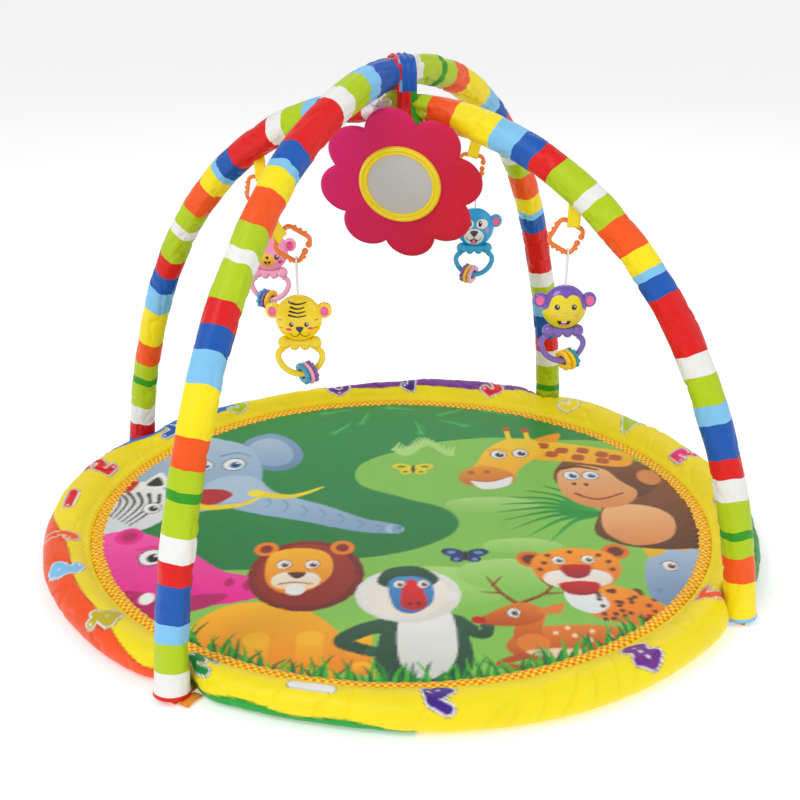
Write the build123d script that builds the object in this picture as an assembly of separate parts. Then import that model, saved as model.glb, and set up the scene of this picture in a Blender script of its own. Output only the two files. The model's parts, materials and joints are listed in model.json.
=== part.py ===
from build123d import *
import math
import os

os.makedirs("parts", exist_ok=True)

# Activity play gym: a padded round mat with a stuffed rim, two crossed padded arches that
# stand in pockets at the rim, four hanging rattles and a flower-shaped mirror.
# Millimetres. Origin on the floor at the mat's centre, +Z up, +Y to the top of the mat's picture.

# ---- mat ------------------------------------------------------------------------------
mat_diameter = 900.0
rim_width = 56.0
rim_height = 38.0
rim_cover_wall = 1.5
base_sheet_thickness = 1.5
mat_wadding_thickness = 11.0
top_sheet_thickness = 1.5
trim_width = 10.0
trim_thickness = 1.2
base_under_rim = 36.0
sheet_gap = 0.3

# ---- arches ---------------------------------------------------------------------------
upper_arch_height = 555.0
shoulder_radius = 490.0
crown_turn = 43.5
shoulder_turn = 20.5
foot_turn = 84.4
foot_inset = 2.0
first_foot_azimuth = 58.6
sleeve_diameter = 36.0
sleeve_cover_wall = 1.2
sleeve_end_height = 4.5
crossing_gap = 0.5
pole_diameter = 12.0
pole_bore_diameter = 9.0
pole_joint_turn = 40.0
ferrule_length = 70.0
pole_foot_height = 40.0
wadding_end_height = 46.0
fit_gap = 0.3

# ---- feet -----------------------------------------------------------------------------
strap_width = 40.0
strap_reach = 26.0
pocket_wall = 1.2
pocket_depth = 26.0
plug_stem_diameter = 14.0
plug_clearance = 0.4
plug_spigot_length = 24.0
plug_shoulder_gap = 2.0
dent_gap = 4.0

# ---- crossing tie and mirror hanger ----------------------------------------------------
tie_width = 10.0
tie_thickness = 1.0
tie_side = 31.0
tie_front = 44.0
tie_lip = 12.0
tie_corner_radius = 3.0
hanger_width = 8.0
hanger_wall = 1.2
hanger_window = 7.0
hanger_offset = 36.5

# ---- flower mirror ---------------------------------------------------------------------
petal_count = 8
flower_tip_radius = 90.0
flower_notch_radius = 73.7
flower_thickness = 19.0
flower_fabric = 1.2
bezel_outer_radius = 45.8
bezel_inner_radius = 36.4
bezel_height = 4.5
mirror_radius = 39.5
mirror_thickness = 2.0
flower_drop = 58.5
flower_shift = -8.7
flower_yaw = 11.4
flower_tilt = 19.4
flower_roll = -5.6

# ---- hanging toys ----------------------------------------------------------------------
tab_width = 14.0
tab_fabric = 1.0
tab_gap = 0.4
tab_root_depth = 12.0
link_side = 29.0
link_corner_radius = 6.0
link_bar_diameter = 4.8
link_ball_diameter = 6.8
link_opening = 1.2
link_opening_rise = 3.5
link_tooth_radius = 1.7
link_tooth_step = 6.0
cord_diameter = 2.0
cord_gap = 0.7
cord_bend_radius = 3.7
cord_drop = 60.0
cord_end_depth = 6.0
cord_end_spread = 1.3
cord_knot_radius = 2.65
head_radius = 24.5
head_side_radius = 8.0
face_depth = 13.0
back_depth = 11.0
shell_wall = 1.8
ear_radius = 8.0
ear_spread = 26.7
ear_rise = 7.8
ear_depth = 4.0
collar_radius = 5.0
collar_length = 30.0
collar_drop = 26.5
handle_radius = 24.0
handle_drop = 38.0
handle_sweep = 75.0
handle_bar_diameter = 6.4
handle_end_radius = 9.0
handle_end_turn = 95.0
bead_radius = 2.2
bead_count = 5
ring_radius = 12.5
ring_hole_radius = 5.4
ring_thickness = 4.0
ring_step = 5.0
ring_tooth_height = 2.0
# half spread, height and radius of the collar's two pairs of lobes
collar_lobes = [(16.0, -27.0, 7.0), (5.5, -29.5, 5.5)]

# name, foot it hangs over, turn of the arch at its tab, inset and drop of the cord's hook from
# the tab's root, tilt of the link, side of the link that the tab holds, middle of the ring stack
toys = [
    ("tiger", 2, 43.0, 37.0, 49.0, 30.0, "left", 17.0),
    ("monkey", 3, 35.3, 5.0, 48.0, 30.0, "top", 19.0),
    ("blue_bear", 0, 33.0, 11.0, 72.0, 8.0, "top", -15.0),
    ("pink_bear", 1, 33.0, 8.0, 50.0, 10.0, "top", -12.0),
]
ring_shapes = {
    "tiger": ("flower", "round", "gear"),
    "monkey": ("flower", "round", "gear"),
    "blue_bear": ("flower", "round", "gear"),
    "pink_bear": ("round", "flower", "gear"),
}

# ---- derived ---------------------------------------------------------------------------
mat_radius = mat_diameter / 2
seam_radius = mat_radius - rim_width
rim_centre_radius = mat_radius - rim_width / 2
rim_bottom = base_sheet_thickness + 0.1
rim_centre_height = rim_bottom + rim_height / 2
mat_top = base_sheet_thickness + mat_wadding_thickness + top_sheet_thickness
base_radius = seam_radius + base_under_rim
foot_radius = mat_radius - foot_inset
sleeve_radius = sleeve_diameter / 2
lower_arch_height = upper_arch_height - sleeve_diameter - crossing_gap
pocket_radius = plug_stem_diameter / 2 + plug_clearance
front_azimuth = first_foot_azimuth + 225


def arch_height_at(foot):
    """Feet 0 and 2 carry the upper arch, feet 1 and 3 the lower one."""
    return upper_arch_height if foot % 2 == 0 else lower_arch_height


def foot_azimuth(foot):
    return first_foot_azimuth + 90 * foot


def arch_radii(height):
    """Crown and leg radii of a five-arc arch that has this height and reaches the feet."""
    crown, shoulder, foot = (math.radians(a) for a in (crown_turn, crown_turn + shoulder_turn, foot_turn))
    a, b = math.sin(crown), math.sin(foot) - math.sin(shoulder)
    c, d = 1 - math.cos(crown), math.cos(shoulder) - math.cos(foot)
    reach = foot_radius - shoulder_radius * (math.sin(shoulder) - math.sin(crown))
    rise = height - shoulder_radius * (math.cos(crown) - math.cos(shoulder))
    det = a * d - b * c
    return (reach * d - b * rise) / det, (a * rise - c * reach) / det


def arch_arc(height, turn):
    """Radius and centre of the arc that holds this turn, as (radius, out, up)."""
    crown_radius, leg_radius = arch_radii(height)
    crown, shoulder = math.radians(crown_turn), math.radians(crown_turn + shoulder_turn)
    out, up = 0.0, height - crown_radius
    if abs(turn) <= crown_turn:
        return crown_radius, out, up
    out += (crown_radius - shoulder_radius) * math.sin(crown)
    up += (crown_radius - shoulder_radius) * math.cos(crown)
    if abs(turn) <= crown_turn + shoulder_turn:
        return shoulder_radius, out, up
    out += (shoulder_radius - leg_radius) * math.sin(shoulder)
    up += (shoulder_radius - leg_radius) * math.cos(shoulder)
    return leg_radius, out, up


def arch_point(foot, turn, inset=0.0):
    """A point over this foot's half of its arch; inset moves it towards the inside."""
    radius, out, up = arch_arc(arch_height_at(foot), turn)
    angle, side = math.radians(abs(turn)), math.copysign(1, turn)
    reach = side * (out + (radius - inset) * math.sin(angle))
    azimuth = math.radians(foot_azimuth(foot))
    return Vector(
        reach * math.cos(azimuth), reach * math.sin(azimuth), up + (radius - inset) * math.cos(angle)
    )


def turn_at_height(foot, z):
    """Turn of the leg where its centre line is at height z."""
    radius, _, up = arch_arc(arch_height_at(foot), foot_turn)
    return math.degrees(math.acos((z - up) / radius))


def arch_path(foot, start, end):
    """Tangent arcs along the arch over this foot, from one turn to another."""
    knee = crown_turn + shoulder_turn
    inner_turns = [turn for turn in (-knee, -crown_turn, crown_turn, knee) if start < turn < end]
    turns = [start] + inner_turns + [end]
    with BuildLine() as line:
        for low, high in zip(turns, turns[1:]):
            ThreePointArc(*[arch_point(foot, turn) for turn in (low, (low + high) / 2, high)])
    return line.wire()


def tube(path, outer, inner=0.0):
    """A round tube, or a bar when it has no inner diameter, along a path."""
    section = Circle(outer / 2)
    if inner:
        section -= Circle(inner / 2)
    return sweep(Plane(origin=path @ 0, z_dir=path % 0) * section, path=path)


def disc(radius, thickness, z, hole=0.0):
    """A flat disc or annulus whose underside is at z."""
    upwards = (Align.CENTER, Align.CENTER, Align.MIN)
    shape = Cylinder(radius, thickness, align=upwards)
    if hole:
        shape -= Cylinder(hole, thickness, align=upwards)
    return Pos(0, 0, z) * shape


def horizontal(azimuth, reach=1.0):
    angle = math.radians(azimuth)
    return Vector(reach * math.cos(angle), reach * math.sin(angle), 0)


def save(name, shape):
    export_step(shape, f"parts/{name}.step")


# ---- mat -------------------------------------------------------------------------------
def foot_posts(radius):
    """Upright cylinders at the feet, for the dents that the arch legs press into the rim."""
    posts = []
    for foot in range(4):
        place = arch_point(foot, turn_at_height(foot, rim_height / 2))
        posts.append(Pos(place.X, place.Y, rim_height / 2) * Cylinder(radius, 3 * rim_height))
    return posts


def rim_body(shrink):
    """The rim's stuffed ring, shrunk by this much all round, with its four dents."""
    section = SlotOverall(rim_width - 2 * shrink, rim_height - 2 * shrink)
    ring = revolve(Plane.XZ * Pos(rim_centre_radius, rim_centre_height) * section, Axis.Z)
    return ring - foot_posts(sleeve_radius + dent_gap + shrink)


def build_mat():
    disc_radius = seam_radius - sheet_gap
    save("mat_base_sheet", disc(base_radius, base_sheet_thickness, 0))
    save("mat_wadding", disc(disc_radius, mat_wadding_thickness, base_sheet_thickness))
    save("mat_top_sheet", disc(disc_radius, top_sheet_thickness, mat_top - top_sheet_thickness))
    save("seam_trim_band", disc(disc_radius, trim_thickness, mat_top, disc_radius - trim_width))
    save("rim_cover", rim_body(0) - rim_body(rim_cover_wall))
    save("rim_filling", rim_body(rim_cover_wall + fit_gap))


def build_feet():
    """Straps sewn to the base sheet, the cups on them, and the plugs that stand in the cups."""
    straps, cups, plugs = [], [], []
    strap_end = foot_radius + strap_reach
    for foot in range(4):
        turned = Rot(0, 0, foot_azimuth(foot))
        strap = Box(strap_end, strap_width, base_sheet_thickness)
        strap = Pos(strap_end / 2, 0, base_sheet_thickness / 2) * strap
        straps.append(turned * (strap - disc(base_radius + 0.1, base_sheet_thickness, 0)))

        end_turn = turn_at_height(foot, pole_foot_height)
        pole_end = arch_point(foot, end_turn)
        at_cup = turned * Pos(math.hypot(pole_end.X, pole_end.Y), 0, 0)
        cup = disc(pocket_radius + pocket_wall, pocket_wall + pocket_depth, base_sheet_thickness)
        cups.append(at_cup * (cup - disc(pocket_radius, pocket_depth, base_sheet_thickness + pocket_wall)))

        stem_bottom = base_sheet_thickness + pocket_wall + fit_gap
        stem_top = pole_foot_height - plug_shoulder_gap
        stem = at_cup * disc(plug_stem_diameter / 2, stem_top - stem_bottom, stem_bottom)
        turn_per_mm = math.degrees(1 / arch_radii(arch_height_at(foot))[1])
        spigot_start = end_turn - turn_per_mm * plug_spigot_length
        spigot_end = end_turn + turn_per_mm * 2 * plug_shoulder_gap
        spigot = tube(arch_path(foot, spigot_start, spigot_end), pole_bore_diameter - 2 * fit_gap)
        plugs.append(stem + spigot)
    save("anchor_straps", Compound(straps))
    save("foot_pockets", Compound(cups))
    save("foot_plugs", Compound(plugs))


# ---- arches ----------------------------------------------------------------------------
def build_arch(foot, name, near_foot, far_foot):
    """Three pole sections, two ferrules, the wadding and the sleeve of one arch."""
    turn_per_mm = math.degrees(1 / arch_radii(arch_height_at(foot))[0])
    pole_end = turn_at_height(foot, pole_foot_height)
    beyond_joint = pole_joint_turn + turn_per_mm * fit_gap
    sections = {
        f"pole_{near_foot}": (beyond_joint, pole_end),
        f"pole_{name}_crown": (-pole_joint_turn, pole_joint_turn),
        f"pole_{far_foot}": (-pole_end, -beyond_joint),
    }
    for node, (start, end) in sections.items():
        save(node, tube(arch_path(foot, start, end), pole_diameter, pole_bore_diameter))

    ferrules = []
    reach = turn_per_mm * ferrule_length / 2
    for joint in (-pole_joint_turn, pole_joint_turn):
        path = arch_path(foot, joint - reach, joint + reach)
        ferrules.append(tube(path, pole_bore_diameter - 2 * fit_gap))

    wadding_end = turn_at_height(foot, wadding_end_height)
    sleeve_end = turn_at_height(foot, sleeve_end_height)
    sleeve_bore = sleeve_diameter - 2 * sleeve_cover_wall
    wadding_path = arch_path(foot, -wadding_end, wadding_end)
    wadding = tube(wadding_path, sleeve_bore - 2 * fit_gap, pole_diameter + 2 * fit_gap)
    save(f"sleeve_wadding_{name}", wadding)
    sleeve_path = arch_path(foot, -sleeve_end, sleeve_end)
    save(f"sleeve_cover_{name}", tube(sleeve_path, sleeve_diameter, sleeve_bore))
    return ferrules


def build_arches():
    ferrules = build_arch(0, "upper", "back_right", "front_left")
    ferrules += build_arch(1, "lower", "back_left", "front_right")
    save("pole_ferrules", Compound(ferrules))


# ---- crossing tie and flower mirror ----------------------------------------------------
tie_floor = lower_arch_height - sleeve_radius - crossing_gap
tie_roof = upper_arch_height + sleeve_radius + crossing_gap
hanger_axis = horizontal(-flower_yaw)
hanger_point = horizontal(front_azimuth, hanger_offset) + Vector(0, 0, tie_floor - tie_thickness / 2)
flower_centre = hanger_point + hanger_axis * flower_shift - Vector(0, 0, flower_drop)


def flower_plane():
    """The flower's middle plane: local x to its right, y to its top, z out of its face."""
    tilt, roll = math.radians(flower_tilt), math.radians(flower_roll)
    facing = horizontal(-90 - flower_yaw)
    face = facing * math.cos(tilt) - Vector(0, 0, math.sin(tilt))
    upright = facing * math.sin(tilt) + Vector(0, 0, math.cos(tilt))
    across = hanger_axis * math.cos(roll) - upright * math.sin(roll)
    return Plane(origin=flower_centre, x_dir=across, z_dir=face)


def flower_outline(shrink=0.0):
    """Round petals whose tips and notches lie on the two flower radii."""
    notch_x = flower_notch_radius * math.cos(math.pi / petal_count)
    squares = flower_tip_radius**2 - flower_notch_radius**2
    petal_centre = squares / (2 * (flower_tip_radius - notch_x))
    outline = Circle(petal_centre)
    for petal in range(petal_count):
        place = Rot(0, 0, 90 + petal * 360 / petal_count) * Pos(petal_centre, 0, 0)
        outline += place * Circle(flower_tip_radius - petal_centre - shrink)
    return outline


def slab(outline, bottom, top):
    return Pos(0, 0, bottom) * extrude(outline, top - bottom)


def build_tie():
    """The ribbon loop that holds the two crossing sleeves together."""
    plane = Plane(origin=(0, 0, 0), x_dir=horizontal(front_azimuth), z_dir=horizontal(front_azimuth - 90))
    corners = [
        (-tie_side, tie_floor),
        (tie_front, tie_floor),
        (tie_front, tie_floor + tie_lip),
        (tie_side, lower_arch_height),
        (tie_side, tie_roof),
        (-tie_side, tie_roof),
    ]
    inside = make_face(Polyline(*corners, close=True))
    inside = fillet(inside.vertices(), tie_corner_radius)
    band = offset(inside, tie_thickness) - inside
    save("crossing_tie", plane * Pos(0, 0, -tie_width / 2) * extrude(band, tie_width))


def build_mirror():
    plane = flower_plane()
    front = flower_thickness / 2
    seam = flower_fabric - front
    save("flower_back", plane * slab(flower_outline(), -front, seam))
    hollow = slab(flower_outline(flower_fabric), seam, front - flower_fabric)
    save("flower_front", plane * (slab(flower_outline(), seam, front) - hollow))
    padding = slab(flower_outline(flower_fabric + fit_gap), seam, front - flower_fabric)
    save("flower_padding", plane * padding)
    save("mirror_disc", plane * slab(Circle(mirror_radius), front, front + mirror_thickness))
    bezel = slab(Circle(bezel_outer_radius) - Circle(bezel_inner_radius), front, front + bezel_height)
    seat = slab(Circle(mirror_radius + fit_gap), front, front + mirror_thickness)
    save("mirror_bezel", plane * (bezel - seat))

    place = Plane(
        origin=hanger_point, x_dir=horizontal(front_azimuth - 270), z_dir=horizontal(front_azimuth)
    )
    window_width = tie_width + 2 * tie_thickness
    outer_height = hanger_window + 2 * hanger_wall
    hanger = Box(window_width + 2 * hanger_wall, outer_height, hanger_width)
    hanger -= Box(window_width, hanger_window, hanger_width)
    tail_length = flower_drop - outer_height / 2
    tail = Box(hanger_width, tail_length, hanger_wall)
    hanger += Pos(0, -(outer_height + tail_length) / 2, 0) * tail
    save("mirror_hanger", (place * hanger) - plane * slab(flower_outline(), -front, flower_thickness))


# ---- hanging toys ----------------------------------------------------------------------
def toy_places(foot, tab_turn, inset, drop, tilt, side):
    """Tab root, cord hook, link centre, tab bar centre, tab bar direction and head centre."""
    root = arch_point(foot, tab_turn, sleeve_radius)
    hook = root - horizontal(foot_azimuth(foot), inset) - Vector(0, 0, drop)
    half = link_side / 2
    corner = half - link_corner_radius
    angle = math.radians(tilt)
    hook_x = corner * (math.cos(angle) - math.sin(angle))
    hook_z = -corner * (math.cos(angle) + math.sin(angle)) - link_corner_radius
    link = hook - Vector(hook_x, 0, hook_z)
    right = Vector(math.cos(angle), 0, -math.sin(angle))
    up = Vector(math.sin(angle), 0, math.cos(angle))
    bar, along = (link - right * half, up) if side == "left" else (link + up * half, right)
    return root, hook, link, bar, along, hook - Vector(0, 0, cord_drop)


def build_link(name, link, tilt, side):
    """A rounded square ring with an opening between two balls and small teeth outside."""
    half = link_side / 2
    ball_step = (link_ball_diameter + link_opening) / 2
    top, bottom = link_opening_rise + ball_step, link_opening_rise - ball_step
    corners = [(half, top), (half, half), (-half, half), (-half, -half), (half, -half), (half, bottom)]
    with BuildLine(Plane.XZ) as line:
        FilletPolyline(*corners, radius=link_corner_radius)
    shape = tube(line.wire(), link_bar_diameter)
    for z in (top, bottom):
        shape += Pos(half, 0, z) * Sphere(link_ball_diameter / 2)
    for turn, held in ((0, "right"), (90, "bottom"), (180, "left"), (270, "top")):
        for step in (-link_tooth_step, 0, link_tooth_step):
            on_opening = held == "right" and abs(step - link_opening_rise) < 2 * ball_step
            if held != side and not on_opening:
                tooth = Pos(half + link_bar_diameter / 2, 0, step) * Sphere(link_tooth_radius)
                shape += Rot(0, turn, 0) * tooth
    save(f"{name}_link", Pos(link) * Rot(0, tilt, 0) * shape)


def build_tab(foot, tab_turn, root, bar, along):
    """A folded ribbon from the sleeve's seam to its loop round the link's bar."""
    inner = link_bar_diameter / 2 + tab_gap
    to_root = (root - bar).normalized()
    length = (root - bar).length + tab_root_depth
    across = along - to_root * along.dot(to_root)
    strip_place = Plane(origin=bar + to_root * (length / 2), x_dir=across, z_dir=to_root)
    tab = Plane(origin=bar, z_dir=along) * Cylinder(inner + tab_fabric, tab_width)
    tab += strip_place * Box(tab_width, 2 * tab_fabric, length)
    tab -= Plane(origin=bar, z_dir=along) * Cylinder(inner, 2 * tab_width)
    return tab - tube(arch_path(foot, tab_turn - 8, tab_turn + 8), sleeve_diameter)


def build_cord(name, hook):
    """A loop from inside the head, over the link's bar and back, with its knot."""
    reach = link_bar_diameter / 2 + cord_gap + cord_diameter / 2
    end = head_radius - cord_drop - cord_end_depth
    corners = [(-cord_end_spread, end), (-reach, reach), (reach, reach), (cord_end_spread, end)]
    with BuildLine(Plane.YZ) as line:
        FilletPolyline(*corners, radius=cord_bend_radius)
    length = line.wire().length
    cord = tube(line.wire(), cord_diameter)
    section = math.pi * cord_diameter**2 / 4
    ratio = round(cord.volume / (section * length), 4)
    print(f"{name} cord: length {length:.1f}, bend radius {cord_bend_radius}, volume ratio {ratio}")
    save(f"{name}_cord", Pos(hook) * (cord + Pos(0, 0, end) * Sphere(cord_knot_radius)))


def dome(shrink, side):
    """Half of the flattened round head, face side -1 or back side +1, shrunk all round."""
    radius, depth = head_radius - shrink, (face_depth if side < 0 else back_depth) - shrink
    corner = head_side_radius - shrink
    flat = radius - corner
    crown = (flat**2 + depth**2 - corner**2) / (2 * (depth - corner))
    knee_angle = math.atan2(flat, crown - depth)
    crown_middle = (crown * math.sin(knee_angle / 2), depth - crown + crown * math.cos(knee_angle / 2))
    knee = (flat + corner * math.sin(knee_angle), corner * math.cos(knee_angle))
    side_angle = (math.pi / 2 - knee_angle) / 2
    side_middle = (flat + corner * math.cos(side_angle), corner * math.sin(side_angle))
    points = [(x, side * y) for x, y in ((0, depth), crown_middle, knee, side_middle, (radius, 0))]
    with BuildSketch() as profile:
        with BuildLine():
            ThreePointArc(points[0], points[1], points[2])
            ThreePointArc(points[2], points[3], points[4])
            Polyline(points[4], (0, 0), points[0])
        make_face()
    return revolve(profile.sketch, Axis.Y)


def ears(depth):
    """Both round ears, from y = 0 to y = depth."""
    pair = []
    for side in (-1, 1):
        ear = Rot(90, 0, 0) * Cylinder(ear_radius, abs(depth))
        pair.append(Pos(side * ear_spread, depth / 2, ear_rise) * ear)
    return pair


def build_head(name, head):
    """The face shell, and the back shell with the collar and the ring handle."""
    slot_depth = 2 * cord_end_spread + cord_diameter + 2
    slot = Pos(0, 0, head_radius) * Box(cord_diameter + 1, slot_depth, 2 * cord_end_depth)
    face_cavity, back_cavity = dome(shell_wall, -1), dome(shell_wall, 1)
    face = dome(0, -1) + ears(-ear_depth)
    save(f"{name}_face", Pos(head) * (face - face_cavity - slot))

    with BuildLine(Plane.XZ) as line:
        ring = CenterArc((0, -handle_drop), handle_radius, 270 - handle_sweep, 2 * handle_sweep)
        JernArc(ring @ 1, ring % 1, handle_end_radius, handle_end_turn)
        JernArc(ring @ 0, (ring % 0) * -1, handle_end_radius, -handle_end_turn)
    handle = tube(line.wire(), handle_bar_diameter)
    collar = Pos(0, 0, -collar_drop) * Rot(0, 90, 0) * Cylinder(collar_radius, collar_length)
    for x, z, radius in collar_lobes:
        collar += Pos(x, 0, z) * Sphere(radius)
        collar += Pos(-x, 0, z) * Sphere(radius)
    back = dome(0, 1) + ears(ear_depth) + (collar - dome(-fit_gap, -1)) + handle
    save(f"{name}_back", Pos(head) * (back - face_cavity - back_cavity - slot))

    half_row = bead_radius * bead_count
    bead_z = 2 * bead_radius - math.sqrt((head_radius - shell_wall) ** 2 - half_row**2)
    beads = []
    for bead in range(bead_count):
        bead_x = 2.4 * bead_radius * (bead - (bead_count - 1) / 2)
        beads.append(Pos(bead_x, 0, bead_z) * Sphere(bead_radius))
    save(f"{name}_beads", Pos(head) * Compound(beads))


def ring_outline(kind):
    outline = Circle(ring_radius)
    if kind == "flower":
        lobe_radius = ring_radius / 4
        outline = Circle(ring_radius - lobe_radius)
        for lobe in range(8):
            outline += Rot(0, 0, lobe * 45) * Pos(ring_radius - lobe_radius, 0) * Circle(lobe_radius)
    if kind == "gear":
        outline = Circle(ring_radius - ring_tooth_height)
        for tooth in range(5):
            outline += Rot(0, 0, tooth * 36) * Rectangle(2 * ring_radius, 2 * ring_tooth_height)
    return outline - Circle(ring_hole_radius)


def build_rings(name, head, middle):
    """Three parallel rings side by side on the handle, the first one nearest its end."""
    step = math.copysign(math.degrees(math.asin(ring_step / handle_radius)), middle)
    stack = math.radians(middle)
    across = Vector(math.cos(stack), 0, math.sin(stack))
    for kind, turn in zip(ring_shapes[name], (middle - step, middle, middle + step)):
        angle = math.radians(turn)
        down = handle_drop + handle_radius * math.cos(angle)
        centre = head + Vector(handle_radius * math.sin(angle), 0, -down)
        ring = Pos(0, 0, -ring_thickness / 2) * extrude(ring_outline(kind), ring_thickness)
        save(f"{name}_ring_{kind}", Plane(origin=centre, x_dir=(0, 1, 0), z_dir=across) * ring)


def build_toys():
    tabs = []
    for name, foot, tab_turn, inset, drop, tilt, side, middle in toys:
        root, hook, link, bar, along, head = toy_places(foot, tab_turn, inset, drop, tilt, side)
        build_link(name, link, tilt, side)
        tabs.append(build_tab(foot, tab_turn, root, bar, along))
        build_cord(name, hook)
        build_head(name, head)
        build_rings(name, head, middle)
    save("toy_tabs", Compound(tabs))


build_mat()
build_feet()
build_arches()
build_tie()
build_mirror()
build_toys()
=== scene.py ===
import json
import math
import random

import bpy
import numpy as np
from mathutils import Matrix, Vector, noise


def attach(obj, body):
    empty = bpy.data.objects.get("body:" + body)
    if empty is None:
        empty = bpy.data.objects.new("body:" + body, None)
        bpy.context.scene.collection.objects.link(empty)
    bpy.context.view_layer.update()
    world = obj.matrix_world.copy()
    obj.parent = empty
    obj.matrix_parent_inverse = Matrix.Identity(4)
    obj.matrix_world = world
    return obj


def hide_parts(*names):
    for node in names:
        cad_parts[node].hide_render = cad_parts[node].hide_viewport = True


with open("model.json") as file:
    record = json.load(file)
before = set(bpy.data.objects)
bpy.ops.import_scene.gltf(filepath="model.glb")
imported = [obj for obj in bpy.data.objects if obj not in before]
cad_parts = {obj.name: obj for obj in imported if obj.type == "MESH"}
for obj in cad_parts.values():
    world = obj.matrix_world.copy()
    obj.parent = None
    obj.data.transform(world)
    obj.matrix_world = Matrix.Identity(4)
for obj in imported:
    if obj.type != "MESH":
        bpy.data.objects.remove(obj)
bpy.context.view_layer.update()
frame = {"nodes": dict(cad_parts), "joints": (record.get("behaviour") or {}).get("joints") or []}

# An activity play gym: a round padded mat with a jungle print and a stuffed rim, two crossed
# striped arches, four hanging rattles and a flower-shaped mirror. Metres throughout, except that
# prints are drawn in millimetres.

MM = 0.001
AZIMUTH = math.radians(58.6)
CROWN, KNEE, FOOT = (math.radians(a) for a in (43.5, 64.0, 84.4))
SHOULDER_RADIUS, FOOT_RADIUS = 0.490, 0.448
UPPER_HEIGHT, LOWER_HEIGHT = 0.555, 0.5185
SLEEVE_RADIUS = 0.0178
SEAM_RADIUS = 0.394
MAT_TOP = 0.014
RIM_BOTTOM = 0.0016
# the way that the bow and the mirror's ribbon face
FRONT = AZIMUTH + math.radians(225)


def rgb(text):
    """A hex colour as linear red, green and blue."""
    parts = [int(text[i : i + 2], 16) / 255 for i in (0, 2, 4)]
    return tuple(c / 12.92 if c <= 0.04045 else ((c + 0.055) / 1.055) ** 2.4 for c in parts)


WHITE, LIME, SKY, BLUE = rgb("f3f3f1"), rgb("b8d018"), rgb("94ccf0"), rgb("1462b2")
RED, GREEN, ORANGE, YELLOW = rgb("dc1c16"), rgb("3c9a2c"), rgb("f26a1c"), rgb("ffe600")
PURPLE, BLACK, PINK = rgb("7a3c92"), rgb("1c1a1a"), rgb("e8457e")


# ---- materials -------------------------------------------------------------------------
def new_material(name):
    material = bpy.data.materials.new(name)
    material.use_nodes = True
    tree = material.node_tree
    return material, tree, tree.nodes["Principled BSDF"]


def link_up(tree, source, output, target, socket):
    tree.links.new(source.outputs[output], target.inputs[socket])


def noise_node(tree, scale, detail=3.0):
    place = tree.nodes.new("ShaderNodeTexCoord")
    texture = tree.nodes.new("ShaderNodeTexNoise")
    texture.inputs["Scale"].default_value = scale
    texture.inputs["Detail"].default_value = detail
    link_up(tree, place, "Object", texture, "Vector")
    return texture


def tinted(tree, colour, scale, depth):
    """The colour, or the painted colour when it is None, with soft darker and lighter areas."""
    mix = tree.nodes.new("ShaderNodeMix")
    mix.data_type, mix.blend_type = "RGBA", "MULTIPLY"
    ramp = tree.nodes.new("ShaderNodeMapRange")
    ramp.inputs["To Min"].default_value = 1 - depth
    ramp.inputs["To Max"].default_value = 1 + depth / 2
    link_up(tree, noise_node(tree, scale), "Fac", ramp, "Value")
    mix.inputs["Factor"].default_value = 1.0
    link_up(tree, ramp, "Result", mix, "B")
    if colour is None:
        paint = tree.nodes.new("ShaderNodeAttribute")
        paint.attribute_name = "Paint"
        link_up(tree, paint, "Color", mix, "A")
    else:
        mix.inputs["A"].default_value = (*colour, 1)
    return mix


def fabric(name, colour=None, roughness=0.55, sheen=0.25, weave=0.0007, crease=0.35):
    """Printed satin cloth: fine weave, soft creases and a slight sheen."""
    material, tree, shader = new_material(name)
    tint = tinted(tree, colour, 14, 0.12)
    tree.links.new(tint.outputs["Result"], shader.inputs["Base Color"])
    shader.inputs["Roughness"].default_value = roughness
    shader.inputs["Sheen Weight"].default_value = sheen
    shader.inputs["Specular IOR Level"].default_value = 0.35
    place = tree.nodes.new("ShaderNodeTexCoord")
    threads = []
    for direction in ("X", "Y", "Z"):
        wave = tree.nodes.new("ShaderNodeTexWave")
        wave.bands_direction = direction
        wave.inputs["Scale"].default_value = 0.314 / weave
        link_up(tree, place, "Object", wave, "Vector")
        threads.append(wave)
    total = threads[0]
    for wave in threads[1:]:
        both = tree.nodes.new("ShaderNodeMath")
        link_up(tree, total, 0 if total is not threads[0] else "Fac", both, 0)
        link_up(tree, wave, "Fac", both, 1)
        total = both
    fine = tree.nodes.new("ShaderNodeBump")
    fine.inputs["Strength"].default_value = 0.12
    fine.inputs["Distance"].default_value = 0.0003
    link_up(tree, total, 0, fine, "Height")
    folds = tree.nodes.new("ShaderNodeBump")
    folds.inputs["Strength"].default_value = crease
    folds.inputs["Distance"].default_value = 0.004
    link_up(tree, noise_node(tree, 38, 5), "Fac", folds, "Height")
    link_up(tree, fine, "Normal", folds, "Normal")
    link_up(tree, folds, "Normal", shader, "Normal")
    return material


def plastic(name, colour=None, roughness=0.24, coat=0.4):
    """Smooth moulded plastic with a faint ripple and uneven gloss."""
    material, tree, shader = new_material(name)
    tint = tinted(tree, colour, 30, 0.05)
    tree.links.new(tint.outputs["Result"], shader.inputs["Base Color"])
    gloss = tree.nodes.new("ShaderNodeMapRange")
    gloss.inputs["To Min"].default_value = roughness - 0.04
    gloss.inputs["To Max"].default_value = roughness + 0.08
    link_up(tree, noise_node(tree, 120), "Fac", gloss, "Value")
    link_up(tree, gloss, "Result", shader, "Roughness")
    shader.inputs["Coat Weight"].default_value = coat
    shader.inputs["Coat Roughness"].default_value = 0.08
    bump = tree.nodes.new("ShaderNodeBump")
    bump.inputs["Strength"].default_value = 0.08
    bump.inputs["Distance"].default_value = 0.0005
    link_up(tree, noise_node(tree, 220), "Fac", bump, "Height")
    link_up(tree, bump, "Normal", shader, "Normal")
    return material


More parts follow.
